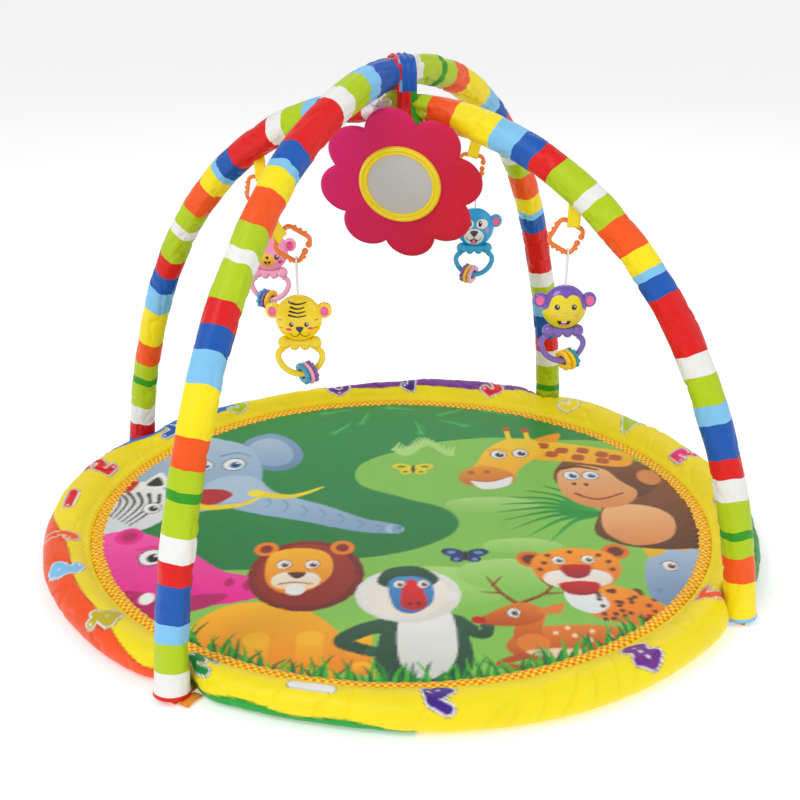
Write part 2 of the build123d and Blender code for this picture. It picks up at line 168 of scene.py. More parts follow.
def metal(name, colour, roughness):
    material, tree, shader = new_material(name)
    tint = tinted(tree, colour, 60, 0.04)
    tree.links.new(tint.outputs["Result"], shader.inputs["Base Color"])
    shader.inputs["Metallic"].default_value = 1.0
    shader.inputs["Roughness"].default_value = roughness
    return material


# ---- meshes ----------------------------------------------------------------------------
def new_piece(name, points, faces, material, body, replaced=()):
    mesh = bpy.data.meshes.new(name)
    mesh.from_pydata([tuple(p) for p in points], [], [tuple(int(i) for i in f) for f in faces])
    mesh.validate()
    mesh.shade_smooth()
    piece = bpy.data.objects.new(name, mesh)
    bpy.context.scene.collection.objects.link(piece)
    mesh.materials.append(material)
    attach(piece, body)
    if replaced:
        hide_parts(*replaced)
    return piece


def thicken(piece, thickness, offset=-1):
    """Gives a sheet its thickness, behind its faces or, with offset 0, on both sides."""
    thick = piece.modifiers.new("thickness", "SOLIDIFY")
    thick.thickness, thick.offset = thickness, offset


def joint_place(name):
    return Vector(next(j["pos_m"] for j in frame["joints"] if j["name"] == name))


def grid_faces(rows, columns, close_rows=False, close_columns=False):
    """Quads between the points of a grid whose points run column by column in each row."""
    r = np.arange(rows if close_rows else rows - 1)
    c = np.arange(columns if close_columns else columns - 1)
    r, c = (a.ravel() for a in np.meshgrid(r, c, indexing="ij"))
    r2, c2 = (r + 1) % rows, (c + 1) % columns
    return np.stack([r * columns + c, r * columns + c2, r2 * columns + c2, r2 * columns + c], 1)


def vivid(colours):
    """Slightly stronger colours, as the cloth's soft gloss takes some of their depth away."""
    colours = np.asarray(colours, float)
    grey = colours.mean(1)[:, None]
    return np.clip(grey + (colours - grey) * 1.16, 0.002, 1) ** 1.06


def paint_points(piece, colours):
    attribute = piece.data.color_attributes.new("Paint", "FLOAT_COLOR", "POINT")
    full = np.ones((len(piece.data.vertices), 4), np.float32)
    full[: len(colours), :3] = vivid(colours)
    attribute.data.foreach_set("color", full.ravel())


def paint_faces(piece, colours):
    """One colour per face, so that the edges between colours stay sharp."""
    attribute = piece.data.color_attributes.new("Paint", "FLOAT_COLOR", "CORNER")
    sides = np.array([p.loop_total for p in piece.data.polygons])
    full = np.ones((len(piece.data.loops), 4), np.float32)
    full[:, :3] = np.repeat(vivid(colours), sides, axis=0)
    attribute.data.foreach_set("color", full.ravel())


def curve_through(points, closed=True, steps=8):
    """A smooth line through the points."""
    p = np.array(points, float)
    count = len(p)
    out = []
    for i in range(count if closed else count - 1):
        if closed:
            a, b, c, d = (p[(i + k) % count] for k in (-1, 0, 1, 2))
        else:
            a, b, c, d = p[max(i - 1, 0)], p[i], p[i + 1], p[min(i + 2, count - 1)]
        for t in np.arange(steps) / steps:
            out.append(
                0.5 * (2 * b + (c - a) * t + (2 * a - 5 * b + 4 * c - d) * t**2
                       + (3 * b - a - 3 * c + d) * t**3)
            )
    if not closed:
        out.append(p[-1])
    return np.array(out)


class Print:
    """A print on cloth or plastic: shapes laid over one another on flat points, in millimetres."""

    def __init__(self, x, y, ground, spacing):
        """Four places around each point are coloured; spacing is that of the points."""
        places = ((-0.38, -0.13), (0.13, -0.38), (0.38, 0.13), (-0.13, 0.38))
        self.x = np.concatenate([np.asarray(x, float) + a * spacing for a, _ in places])
        self.y = np.concatenate([np.asarray(y, float) + b * spacing for _, b in places])
        self.colours = np.tile(np.array(ground, float), (len(self.x), 1))

    def blended(self):
        return self.colours.reshape(4, -1, 3).mean(0)

    def outline(self, points, colour, low=None):
        """Fills a closed outline, shaded towards the low colour at its foot."""
        p = np.asarray(points, float)
        (x0, y0), (x1, y1) = p.min(0), p.max(0)
        near = np.nonzero((self.x >= x0) & (self.x <= x1) & (self.y >= y0) & (self.y <= y1))[0]
        if not len(near):
            return
        x, y = self.x[near], self.y[near]
        inside = np.zeros(len(near), bool)
        for (ax, ay), (bx, by) in zip(p, np.roll(p, -1, 0)):
            if ay == by:
                continue
            crossed = (ay > y) != (by > y)
            inside ^= crossed & (x < (bx - ax) * (y - ay) / (by - ay) + ax)
        hit = near[inside]
        shade = np.array(colour, float)
        if low is None:
            self.colours[hit] = shade
        else:
            t = np.clip((y1 - self.y[hit]) / (y1 - y0), 0, 1)[:, None]
            self.colours[hit] = shade * (1 - t) + np.array(low, float) * t

    def line(self, points, width, colour):
        """A line of even width with round corners."""
        for (ax, ay), (bx, by) in zip(points, points[1:]):
            length = math.hypot(bx - ax, by - ay)
            u, v = (ay - by) / length * width / 2, (bx - ax) / length * width / 2
            self.outline([(ax + u, ay + v), (bx + u, by + v), (bx - u, by - v), (ax - u, ay - v)], colour)
        for x, y in points:
            self.oval(x, y, width / 2, width / 2, colour)

    def smooth(self, points, colour, low=None):
        self.outline(curve_through(points), colour, low)

    def oval(self, x, y, half_width, half_height, colour, low=None, turn=0.0):
        a = np.linspace(0, 2 * math.pi, 40, endpoint=False)
        c, s = math.cos(math.radians(turn)), math.sin(math.radians(turn))
        u, v = half_width * np.cos(a), half_height * np.sin(a)
        self.outline(np.stack([x + c * u - s * v, y + s * u + c * v], 1), colour, low)

    def stroke(self, points, start, end, colour, low=None, closed=False):
        """A line through the points whose width goes from start to end."""
        line = curve_through(points, closed)
        if closed:
            line = np.vstack([line, line[:1]])
        along = np.gradient(line, axis=0)
        along /= np.linalg.norm(along, axis=1)[:, None] + 1e-9
        side = np.stack([-along[:, 1], along[:, 0]], 1)
        half = np.linspace(start, end, len(line))[:, None] / 2
        if closed:
            self.outline(line + side * half, colour, low)
            return
        self.outline(np.vstack([line + side * half, (line - side * half)[::-1]]), colour, low)
        for end_point, radius in ((line[0], start / 2), (line[-1], end / 2)):
            if radius > 1:
                self.oval(*end_point, radius, radius, colour)


# ---- the jungle print ------------------------------------------------------------------
def eye(art, x, y, size, iris=BLACK, white=WHITE):
    art.oval(x, y, size, size * 1.25, BLACK)
    art.oval(x, y, size * 0.9, size * 1.12, white)
    art.oval(x + size * 0.15, y - size * 0.1, size * 0.5, size * 0.65, iris)
    art.oval(x + size * 0.15, y - size * 0.1, size * 0.28, size * 0.36, BLACK)
    art.oval(x + size * 0.3, y + size * 0.25, size * 0.16, size * 0.2, WHITE)


def jungle(art):
    dark, deep, light, pale = rgb("00924a"), rgb("0a7a3c"), rgb("8cc461"), rgb("b4dc8c")
    art.smooth(
        [(-420, 400), (-100, 460), (200, 440), (400, 330), (390, 240), (250, 235), (150, 245), (60, 230),
         (10, 205), (-45, 168), (-64, 125), (-50, 80), (5, 42), (55, 12), (74, -25), (58, -66), (5, -104),
         (-84, -127), (-200, -150), (-430, -120)], dark, deep)
    for x, y, w, h in ((120, 22, 62, 26), (38, -190, 88, 48), (130, -160, 66, 38), (150, -90, 50, 22)):
        art.oval(x, y, w, h, pale, light)
    leaf = rgb("2aa656")
    for x, y, turn in ((-120, 340, 20), (-60, 300, 80), (-20, 362, -10), (60, 335, 35), (130, 352, -30),
                       (210, 318, 15), (-190, 330, 120), (-100, 262, 60), (30, 262, 100), (96, 290, 150)):
        a = math.radians(turn)
        tip = (x + 46 * math.cos(a), y + 46 * math.sin(a))
        art.stroke([(x, y), ((x + tip[0]) / 2 + 4, (y + tip[1]) / 2 + 3), tip], 15, 1, leaf, dark)
        art.stroke([(x, y), tip], 2.2, 1, rgb("7cc870"))
    for k in range(17):
        a = math.radians(10 + k * 19)
        x, y = -10 + 82 * k / 16, 210 - 18 * math.sin(k * 0.5)
        art.stroke([(x, y - 8), (x + 9 * math.cos(a), y + 22)], 9, 1, pale)

    # elephant
    grey, mid, shade = rgb("b4c9dc"), rgb("8eabc6"), rgb("6d8cab")
    art.smooth([(-392, 90), (-385, 190), (-330, 246), (-260, 236), (-200, 150), (-215, 40), (-300, -10),
                (-385, 20)], grey, mid)
    art.smooth([(-232, 222), (-196, 262), (-158, 232), (-140, 176), (-158, 132), (-198, 138)], mid, shade)
    art.smooth([(-222, 214), (-196, 246), (-166, 220), (-154, 176), (-168, 146), (-200, 152)], grey, mid)
    art.smooth([(-300, 205), (-262, 236), (-218, 206), (-194, 130), (-200, 70), (-262, 40), (-300, 90)],
               grey, mid)
    art.stroke([(-226, 72), (-190, 34), (-124, 4), (-60, -30), (-8, -44)], 84, 24, grey, mid)
    for t in range(7):
        x, y = -176 + t * 25, 28 - t * 12
        art.stroke([(x - 5, y + 22 - t * 2), (x + 3, y + 2), (x - 4, y - 18 + t * 2)], 2.4, 1, shade)
    art.oval(-5, -44, 7, 13, mid)
    art.oval(-2, -40, 3, 4, shade)
    art.smooth([(-286, 62), (-246, 70), (-226, 52), (-250, 22), (-284, 28)], rgb("b01c2c"))
    art.stroke([(-300, 42), (-262, 16), (-214, 22), (-190, 44)], 22, 5, rgb("f6e45c"), rgb("e8d030"))
    art.stroke([(-196, 58), (-148, 48), (-106, 78)], 20, 3, rgb("f6e45c"), rgb("e8d030"))
    art.stroke([(-258, 178), (-236, 190), (-214, 178)], 5, 2, shade)
    eye(art, -236, 150, 17, rgb("3c7cc8"))
    eye(art, -278, 146, 14, rgb("3c7cc8"))

    # zebra
    art.smooth([(-402, 60), (-360, 92), (-318, 66), (-296, 10), (-330, -50), (-395, -48)], WHITE,
               rgb("d8dce2"))
    for t in range(6):
        art.stroke([(-398 + t * 15, 66 - t * 3), (-372 + t * 10, 34 - t * 4), (-376 + t * 6, -12 - t * 5)],
                   5.5, 2, BLACK)
    art.smooth([(-352, 74), (-334, 122), (-316, 78)], WHITE)
    art.smooth([(-346, 80), (-335, 108), (-324, 80)], BLACK)
    art.smooth([(-384, 66), (-372, 96), (-358, 90), (-366, 60)], rgb("c8202c"))
    eye(art, -326, 12, 13)

    # hippo
    rose, hot, plum = rgb("f06cb0"), rgb("e23a94"), rgb("b41c6c")
    art.smooth([(-392, -78), (-340, -52), (-270, -92), (-214, -150), (-168, -168), (-152, -196), (-180, -222),
                (-262, -238), (-330, -240), (-384, -170)], rose, hot)
    art.smooth([(-318, -196), (-262, -210), (-200, -206), (-226, -240), (-296, -262), (-330, -232)], plum)
    art.oval(-290, -214, 9, 13, WHITE)
    art.oval(-262, -220, 8, 11, WHITE)
    art.oval(-176, -186, 8, 12, plum)
    art.oval(-200, -180, 6, 9, plum)
    art.oval(-340, -66, 17, 22, hot)
    art.oval(-340, -66, 10, 13, plum)
    eye(art, -302, -118, 17)
    art.stroke([(-322, -100), (-304, -92), (-284, -104)], 6, 3, hot)

    # lion
    gold, amber, mane = rgb("f8c050"), rgb("e88c1c"), rgb("8c2c10")
    art.smooth([(-232, -282), (-196, -232), (-130, -226), (-84, -262), (-48, -330), (-70, -366), (-160, -366),
                (-224, -330)], gold, amber)
    art.stroke([(-226, -286), (-262, -262), (-270, -226)], 9, 6, gold)
    art.oval(-270, -222, 10, 13, mane)
    for x, y in ((-150, -366), (-92, -362), (-40, -352)):
        art.stroke([(x - 6, y + 66), (x - 4, y + 20), (x, y)], 30, 24, gold, amber)
        art.oval(x + 6, y - 2, 19, 11, gold, amber)
    for k in range(22):
        a = 2 * math.pi * k / 22
        art.oval(-112 + 52 * math.cos(a), -160 + 66 * math.sin(a), 17, 23, mane, rgb("6c1c0c"),
                 math.degrees(a))
    art.oval(-112, -160, 58, 74, rgb("a23c14"), mane)
    art.oval(-165, -98, 15, 18, amber)
    art.oval(-72, -94, 15, 18, amber)
    art.oval(-165, -98, 8, 10, mane)
    art.oval(-72, -94, 8, 10, mane)
    art.smooth([(-158, -112), (-120, -96), (-88, -112), (-82, -160), (-104, -196), (-134, -204),
                (-158, -176)],
               gold, amber)
    art.oval(-134, -176, 18, 19, WHITE, rgb("f4dcb0"))
    art.oval(-112, -176, 18, 19, WHITE, rgb("f4dcb0"))
    art.oval(-122, -196, 12, 12, WHITE)
    art.smooth([(-134, -158), (-112, -158), (-122, -172)], rgb("5c2418"))
    art.stroke([(-142, -184), (-122, -180), (-102, -184)], 2.6, 2, mane)
    eye(art, -140, -138, 9.5, rgb("a85c14"))
    eye(art, -106, -138, 9.5, rgb("a85c14"))

    # baboon
    fur, moss = rgb("2c5c46"), rgb("1c4432")
    art.stroke([(0, -266), (-40, -280), (-62, -304), (-30, -322)], 30, 18, fur, moss)
    art.stroke([(60, -262), (88, -286), (96, -262)], 26, 14, fur, moss)
    art.smooth([(-24, -300), (-6, -240), (52, -240), (76, -310), (62, -372), (-20, -372)], fur, moss)
    art.smooth([(-4, -312), (4, -240), (52, -236), (60, -320), (40, -366), (8, -362)], WHITE, rgb("d4d8d4"))
    for k in range(18):
        a = 2 * math.pi * k / 18
        art.oval(8 + 46 * math.cos(a), -206 + 44 * math.sin(a), 15, 21, WHITE, rgb("dcdcd4"), math.degrees(a))
    art.oval(8, -204, 48, 48, WHITE, rgb("ece4d4"))
    art.smooth([(-28, -176), (-14, -146), (20, -142), (44, -170), (30, -190), (-12, -192)], fur, moss)
    art.smooth([(-14, -178), (10, -166), (34, -178), (36, -222), (14, -246), (-8, -232)], rgb("5c9ccc"),
               rgb("3c74ac"))
    art.smooth([(4, -180), (20, -180), (30, -226), (16, -240), (0, -228)], rgb("e02c34"), rgb("b81424"))
    art.oval(10, -226, 2.6, 4, BLACK)
    art.oval(20, -226, 2.6, 4, BLACK)
    eye(art, -2, -184, 7.5, rgb("8c4c14"))
    eye(art, 26, -184, 7.5, rgb("8c4c14"))

    # deer
    tan, russet = rgb("e08848"), rgb("b8541c")
    for side in (-1, 1):
        art.stroke([(132, -226), (140 + side * 26, -200), (142 + side * 42, -166)], 7, 2, rgb("8c3c18"))
        art.stroke([(140 + side * 24, -202), (140 + side * 50, -200)], 5, 1.5, rgb("8c3c18"))
        art.stroke([(140 + side * 34, -186), (140 + side * 22, -166)], 4, 1.5, rgb("8c3c18"))
    art.smooth([(112, -312), (138, -276), (200, -270), (250, -282), (262, -310), (228, -334), (140, -338)],
               tan, russet)
    art.stroke([(150, -250), (138, -280), (142, -304)], 24, 36, tan, russet)
    art.stroke([(130, -330), (104, -346), (146, -356)], 13, 8, russet)
    art.stroke([(216, -328), (244, -344), (196, -350)], 14, 8, russet)
    art.smooth([(84, -262), (104, -240), (136, -222), (160, -236), (152, -262), (118, -270)], tan, russet)
    art.oval(86, -258, 8, 8, rgb("c0202c"))
    art.smooth([(152, -240), (184, -222), (176, -246)], tan)
    eye(art, 126, -244, 8)
    art.smooth([(132, -322), (170, -316), (214, -324), (170, -336)], rgb("f4dcc0"))
    for x, y in ((168, -286), (188, -292), (208, -284), (226, -294), (182, -276), (204, -300)):
        art.oval(x, y, 3, 4, rgb("f8dcb4"))

    # spotted cat
    coat, rust = rgb("f8a838"), rgb("e07818")
    art.smooth([(196, -196), (226, -178), (268, -196), (300, -236), (290, -268), (240, -266), (206, -240)],
               coat, rust)
    art.smooth([(190, -194), (222, -190), (236, -226), (216, -246), (192, -226)], WHITE, rgb("e4ecf0"))
    for x, y in ((156, -122), (262, -104)):
        art.oval(x, y, 17, 19, rust)
        art.oval(x, y, 10, 12, rgb("6c2c14"))
    art.smooth([(162, -116), (206, -94), (254, -108), (262, -150), (236, -186), (184, -188), (158, -154)],
               coat, rust)
    art.oval(190, -168, 23, 20, WHITE, rgb("f4e4d0"))
    art.oval(226, -166, 23, 20, WHITE, rgb("f4e4d0"))
    art.smooth([(184, -180), (208, -172), (232, -178), (222, -202), (194, -202)], rgb("d0202c"),
               rgb("9c1420"))
    art.smooth([(192, -136), (226, -136), (222, -158), (208, -166), (194, -158)], rgb("c42820"),
               rgb("94181c"))
    eye(art, 190, -124, 8.5, rgb("6c8c1c"))
    eye(art, 226, -122, 8.5, rgb("6c8c1c"))
    spots = random.Random(5)
    for _ in range(34):
        x, y = spots.uniform(226, 292), spots.uniform(-262, -192)
        if (x - 226) < 1.1 * (-150 - y):
            art.oval(x, y, 3.4, 4.2, rgb("6c2c0c"))
    for x, y in ((172, -130), (178, -112), (206, -104), (240, -112), (250, -128), (252, -146), (166, -146)):
        art.oval(x, y, 3.6, 4.4, rgb("6c2c0c"))

    # rhino
    stone, slate = rgb("b0c4dc"), rgb("7c98b8")
    art.smooth([(286, -178), (300, -120), (340, -92), (378, -110), (376, -190), (330, -236), (292, -220)],
               stone, slate)
    art.smooth([(300, -118), (300, -66), (326, -98)], rgb("f4dc5c"), rgb("e0b030"))
    art.smooth([(330, -96), (346, -62), (356, -98)], rgb("f4dc5c"), rgb("e0b030"))
    art.smooth([(356, -92), (378, -60), (386, -100)], slate)
    eye(art, 322, -140, 10, rgb("a0243c"))
    art.oval(298, -196, 4, 6, slate)
    art.stroke([(296, -212), (318, -222), (344, -212)], 3, 2, slate)

    # fan of palm leaves
    palm = rgb("1c8c3c")
    for k in range(9):
        a = math.radians(118 + k * 15)
        tip = (252 + 128 * math.cos(a), -2 + 92 * math.sin(a))
        art.stroke([(256, -4), ((256 + tip[0]) / 2, (tip[1] - 4) / 2 + 16), tip], 13, 1, palm, rgb("3cac4c"))

    # ape
    brown, umber, skin, peach = rgb("8c5630"), rgb("5c3418"), rgb("f0c090"), rgb("d8905c")
    art.smooth([(292, 96), (352, 128), (398, 70), (402, -20), (380, -88), (300, -96), (246, -60), (262, 10)],
               brown, umber)
    art.smooth([(268, 14), (318, 22), (350, -12), (338, -68), (290, -88), (258, -52)], skin, peach)
    art.smooth([(212, 118), (238, 168), (296, 182), (344, 150), (352, 92), (318, 46), (258, 44), (218, 74)],
               brown, umber)
    art.oval(342, 108, 16, 24, peach)
    art.smooth([(222, 128), (250, 146), (284, 132), (300, 96), (318, 64), (300, 26), (254, 14), (220, 44),
                (214, 88)], skin, peach)
    art.stroke([(234, 54), (262, 38), (298, 58)], 5, 3, rgb("7c2c1c"))
    art.oval(236, 84, 3.4, 5, umber)
    art.oval(252, 82, 3.4, 5, umber)
    eye(art, 236, 112, 12, rgb("4c8cc8"))
    eye(art, 262, 112, 12, rgb("4c8cc8"))
    art.stroke([(222, 134), (248, 142), (274, 132)], 8, 5, umber)

    # giraffe
    sun, honey, patch = rgb("fcd850"), rgb("f0a82c"), rgb("b8601c")
    art.smooth([(150, 232), (200, 236), (262, 214), (326, 190), (316, 142), (240, 158), (180, 172)], sun,
               honey)
    for x, y in ((206, 214), (232, 196), (262, 196), (216, 184), (288, 184), (252, 172), (286, 162),
                 (306, 174)):
        art.smooth([(x - 9, y - 6), (x - 4, y + 10), (x + 10, y + 6), (x + 6, y - 10)], patch)
    for x, y in ((158, 276), (186, 272)):
        art.stroke([(x + 2, y - 44), (x, y)], 8, 7, sun)
        art.oval(x, y, 7, 8, patch)
    art.smooth([(196, 236), (236, 262), (226, 226)], honey)
    art.smooth([(104, 150), (126, 206), (160, 240), (196, 232), (200, 186), (168, 140), (150, 100), (104, 88),
                (84, 112)], sun, honey)
    art.smooth([(84, 126), (116, 148), (152, 126), (154, 92), (118, 78), (84, 92)], rgb("e89c30"),
               rgb("c87818"))
    art.oval(98, 126, 5, 6, patch)
    art.oval(120, 128, 5, 6, patch)
    art.smooth([(96, 100), (124, 96), (152, 112), (146, 82), (112, 72)], WHITE)
    art.stroke([(92, 102), (124, 96), (154, 114)], 3, 2, patch)
    eye(art, 140, 186, 12)
    eye(art, 172, 190, 12)
    art.stroke([(126, 200), (142, 206), (156, 198)], 6, 3, honey)

    # butterflies
    wings = ((-15, 8, 15, 10, 24), (15, 8, 15, 10, -24), (-10, -8, 9, 9, 0), (10, -8, 9, 9, 0))
    insects = ((17, 134, rgb("e8d81c"), rgb("6c8c14")), (78, -115, rgb("20386c"), rgb("7c9cd0")))
    for x, y, wing, spot in insects:
        for dx, dy, w, h, turn in wings:
            art.oval(x + dx, y + dy, w, h, wing, None, -turn)
            art.oval(x + dx * 1.1, y + dy * 1.1, w * 0.4, h * 0.4, spot)
        art.oval(x, y, 2.6, 13, BLACK)

    # grass at the foot
    blades = random.Random(11)
    for k in range(120):
        x = -245 + k * 4.3 + blades.uniform(-3, 3)
        foot = -math.sqrt(max(392**2 - x**2, 0)) + 4
        tall = blades.uniform(22, 52)
        lean = blades.uniform(-16, 16)
        tone = (rgb("1c8c38"), rgb("4cb03c"), rgb("0c6c30"))[k % 3]
        art.stroke([(x, foot), (x + lean * 0.3, foot + tall * 0.6), (x + lean, foot + tall)], 7, 0.8, tone)


def round_grid(count):
    """Points of a square grid pulled into a unit disc, row by row."""
    a = np.linspace(-1, 1, count)
    x, y = (v.ravel() for v in np.meshgrid(a, a))
    far = np.maximum(np.abs(x), np.abs(y))
    length = np.hypot(x, y)
    scale = np.divide(far, length, out=np.ones_like(far), where=length > 0)
    return x * scale, y * scale


def ripple(x, y, z, size, height):
    """Gentle unevenness of cloth; size is the spacing of its hills."""
    return height * noise.noise(Vector((x, y, z)) / size)


SEAM_PUCKERS = 150


def build_mat(cloth):
    """The printed pad inside the seam, with a flat underside."""
    count = 315
    x, y = (v * (SEAM_RADIUS - 0.001) for v in round_grid(count))
    art = Print(x / MM, y / MM, rgb("8cc461"), 2.4)
    jungle(art)
    far = np.hypot(x, y)
    edge = np.clip((SEAM_RADIUS - far) / 0.030, 0, 1)
    z = []
    for px, py, e, r in zip(x, y, edge, far):
        hill = ripple(px, py, 0.3, 0.11, 0.0022) + ripple(px, py, 1.7, 0.03, 0.0007)
        wander = 4 * noise.noise(Vector((px, py, 0)) * 30)
        pucker = 0.0012 * (1 - e) * math.sin(SEAM_PUCKERS * math.atan2(py, px) + wander)
        z.append(MAT_TOP - 0.0022 * (1 - e) ** 2 + hill * e + pucker)
    top = np.stack([x, y, z], 1)
    last = count - 1
    ring = list(range(last)) + [r * count + last for r in range(last)]
    ring += [count * last + c for c in range(last, 0, -1)] + [r * count for r in range(last, 0, -1)]
    low = [(top[i][0], top[i][1], 0.0005) for i in ring]
    points = np.vstack([top, low])
    start = len(top)
    size = len(ring)
    sides = [(ring[i], start + i, start + (i + 1) % size, ring[(i + 1) % size]) for i in range(size)]
    under = tuple(range(start + size - 1, start - 1, -1))
    faces = [tuple(f) for f in grid_faces(count, count)] + sides + [under]
    pad = new_piece("mat_pad", points, faces, cloth, "mat",
                    ("mat_top_sheet", "mat_wadding", "mat_base_sheet"))
    paint_points(pad, art.blended())


# ---- rim -------------------------------------------------------------------------------
# millimetres: the rim's width, and the radius and outer end of its print
RIM_WIDTH, RIM_PRINT_RADIUS, RIM_PRINT_END = 56, 425, 142
DENT_WIDTH, DENT_DEPTH = 0.027, 0.44
# the rim's reach over azimuth in degrees, as a share of the radius at the feet
RIM_REACH = [(0, 1.0), (30, 1.0), (45, 1.01), (60, 1.025), (76, 1.02), (92, 0.965), (108, 0.94), (122, 0.94),
             (134, 0.955), (150, 0.99), (165, 1.0), (228, 1.0), (246, 0.985), (259, 0.985), (275, 1.01),
             (291, 1.02), (309, 1.01), (326, 1.0)]
# coloured zones: first and last azimuth, colour, inner edge in mm, how far it bows, and its skew
RIM_ZONES = [(54, 114, rgb("7c3a94"), 54, 26, 1.0), (119, 164, rgb("1c7ccc"), 58, 24, 0.8),
             (179, 238, rgb("f06414"), 82, 46, 0.8), (239, 272, rgb("28a03c"), 84, 8, 0.5),
             (330, 377, rgb("1c8c30"), 82, 46, 1.0)]
# points across the rim from the seam over the top and back below, as width (0 to 1) and height in mm
RIM_SECTION = [(0.0, 14), (0.10, 21), (0.28, 30.5), (0.5, 36.6), (0.70, 37.2), (0.88, 31), (0.985, 19),
               (0.955, 8), (0.82, 2.6), (0.5, 1.7), (0.14, 1.7), (0.01, 6)]
GLYPHS = {
    "0": [[(0, 20), (11, 10), (11, -10), (0, -20), (-11, -10), (-11, 10), (0, 20)]],
    "1": [[(-8, 12), (2, 20), (2, -20)]],
    "2": [[(-11, 11), (0, 20), (11, 10), (0, -6), (-12, -19), (12, -19)]],
    "3": [[(-10, 14), (2, 20), (10, 10), (0, 1), (11, -9), (2, -20), (-11, -13)]],
    "4": [[(6, -20), (6, 20), (-12, -6), (13, -6)]],
    "5": [[(11, 19), (-8, 19), (-9, 3), (4, 5), (11, -7), (2, -19), (-11, -14)]],
    "6": [[(8, 18), (-8, 8), (-10, -10), (1, -20), (10, -9), (0, 1), (-9, -6)]],
    "7": [[(-12, 19), (12, 19), (-3, -20)]],
    "8": [[(0, 1), (9, 10), (0, 20), (-9, 10), (0, 1), (11, -10), (0, -20), (-11, -10), (0, 1)]],
    "9": [[(9, 6), (0, -1), (-9, 8), (0, 19), (10, 9), (7, -10), (-5, -19)]],
    "-": [[(-16, 0), (16, 0)]],
}
# azimuth in degrees, sign and colour
RIM_GLYPHS = [(104, "0", PURPLE), (88, "1", rgb("4c2c7c")), (70, "2", RED), (52, "3", YELLOW),
              (37, "4", LIME), (20, "5", PINK), (2, "6", rgb("c8203c")), (326, "7", ORANGE),
              (305, "8", PURPLE), (275, "9", rgb("4c2c8c")), (258, "-", WHITE), (241, "3", rgb("1c8c48")),
              (222, "4", rgb("c8b81c")), (205, "6", SKY), (193, "1", ORANGE), (180, "-", RED),
              (166, "5", RED), (146, "7", BLUE), (128, "2", LIME)]


def even_section(across):
    """The rim's section at even spacing: widths, heights and lengths along it in millimetres."""
    dense = curve_through([(x * RIM_WIDTH, z) for x, z in RIM_SECTION], True, 24)
    dense = np.vstack([dense, dense[:1]])
    length = np.concatenate([[0], np.cumsum(np.linalg.norm(np.diff(dense, axis=0), axis=1))])
    at = np.linspace(0, length[-1], across, endpoint=False)
    return np.interp(at, length, dense[:, 0]) / RIM_WIDTH, np.interp(at, length, dense[:, 1]), at


def build_rim(cloth):
    """The stuffed rim, pressed in at the feet, with its coloured zones and signs."""
    around, across = 1500, 64
    azimuths = np.linspace(0, 2 * math.pi, around, endpoint=False)
    known = np.array(RIM_REACH + [(360 + RIM_REACH[0][0], RIM_REACH[0][1])])
    reach = np.interp(np.degrees(azimuths), known[:, 0], known[:, 1])
    window = np.hanning(81) / np.hanning(81).sum()
    reach = np.convolve(np.concatenate([reach[-40:], reach, reach[:40]]), window, "valid")
    widths, heights, lengths = even_section(across)
    feet = [AZIMUTH + k * math.pi / 2 for k in range(4)]
    points = []
    for a, wide in zip(azimuths, reach):
        span = FOOT_RADIUS * 1.004 * wide - SEAM_RADIUS + 0.002
        ca, sa = math.cos(a), math.sin(a)
        away = min(abs((a - f + math.pi) % (2 * math.pi) - math.pi) for f in feet) * FOOT_RADIUS
        dent = math.exp(-((away / DENT_WIDTH) ** 2))
        tall = 0.95 + 0.06 * noise.noise(Vector((3 * ca, 3 * sa, 5)))
        for w, h, n in zip(widths, heights, lengths):
            top = min(1.0, h / 22)
            out, up = (w - 0.5) * 2, (h - 19) / 19
            swell = 0.0022 * noise.noise(Vector((ca * 7, sa * 7, n * 0.02)))
            fold = noise.noise(Vector((ca * 13 + n * 0.02, sa * 13, 3 + n * 0.012)))
            fold = 0.0017 * math.exp(-((fold / 0.07) ** 2))
            fine = ripple(ca * 0.42, sa * 0.42, n * MM, 0.016, 0.0009)
            pinch = 0.0009 * math.exp(-n / 7) * math.sin(210 * a + 3 * noise.noise(Vector((ca, sa, 0)) * 14))
            move = (swell - fold + fine) * top * min(1.0, n / 12)
            far = SEAM_RADIUS - 0.001 + span * w * (1 - dent * DENT_DEPTH * w) + move * out
            z = max(h * MM * (tall if n > 8 else 1) + move * up + pinch, RIM_BOTTOM)
            points.append((far * ca, far * sa, z))
    faces = grid_faces(around, across, True, True)
    rim = new_piece("rim", points, faces, cloth, "mat", ("rim_cover", "rim_filling"))
    u = np.repeat(azimuths, across)
    art = Print(u * RIM_PRINT_RADIUS, np.tile(lengths, around), YELLOW, 2.0)
    for start, end, colour, edge, depth, skew in RIM_ZONES:
        for shift in (0, -360):
            s, e = (math.radians(a + shift) * RIM_PRINT_RADIUS for a in (start, end))
            t = np.clip((art.x - s) / (e - s), 0, 1)
            border = edge - depth * np.sin(math.pi * t**skew) ** 0.8 + 3 * np.sin(t * 15)
            inside = (art.x > s) & (art.x < e) & (art.y < RIM_PRINT_END)
            art.colours[inside & (art.y > border - 1.6)] = np.array(colour) * 0.55
            # painted shade: each zone is lightest at its inner edge and darkens over the rim towards its
            # outer side
            shade = np.clip((art.y - border) / 60, 0, 1)[:, None]
            tone = np.array(colour) * (1.08 - 0.25 * shade)
            mask = inside & (art.y > border)
            art.colours[mask] = tone[mask]
    for azimuth, text, colour in RIM_GLYPHS:
        centre = math.radians(azimuth) * RIM_PRINT_RADIUS
        for width, tone in ((17, rgb("30284c")), (15.4, WHITE), (11, colour)):
            for shape in GLYPHS[text]:
                art.line([(centre - 1.1 * x, 42 - 0.92 * y) for x, y in shape], width, tone)
        for x, y in GLYPHS[text][0][:1]:
            art.oval(centre - 1.1 * x, 42 - 0.92 * y, 2.6, 1.6, WHITE)
    paint_points(rim, art.blended())


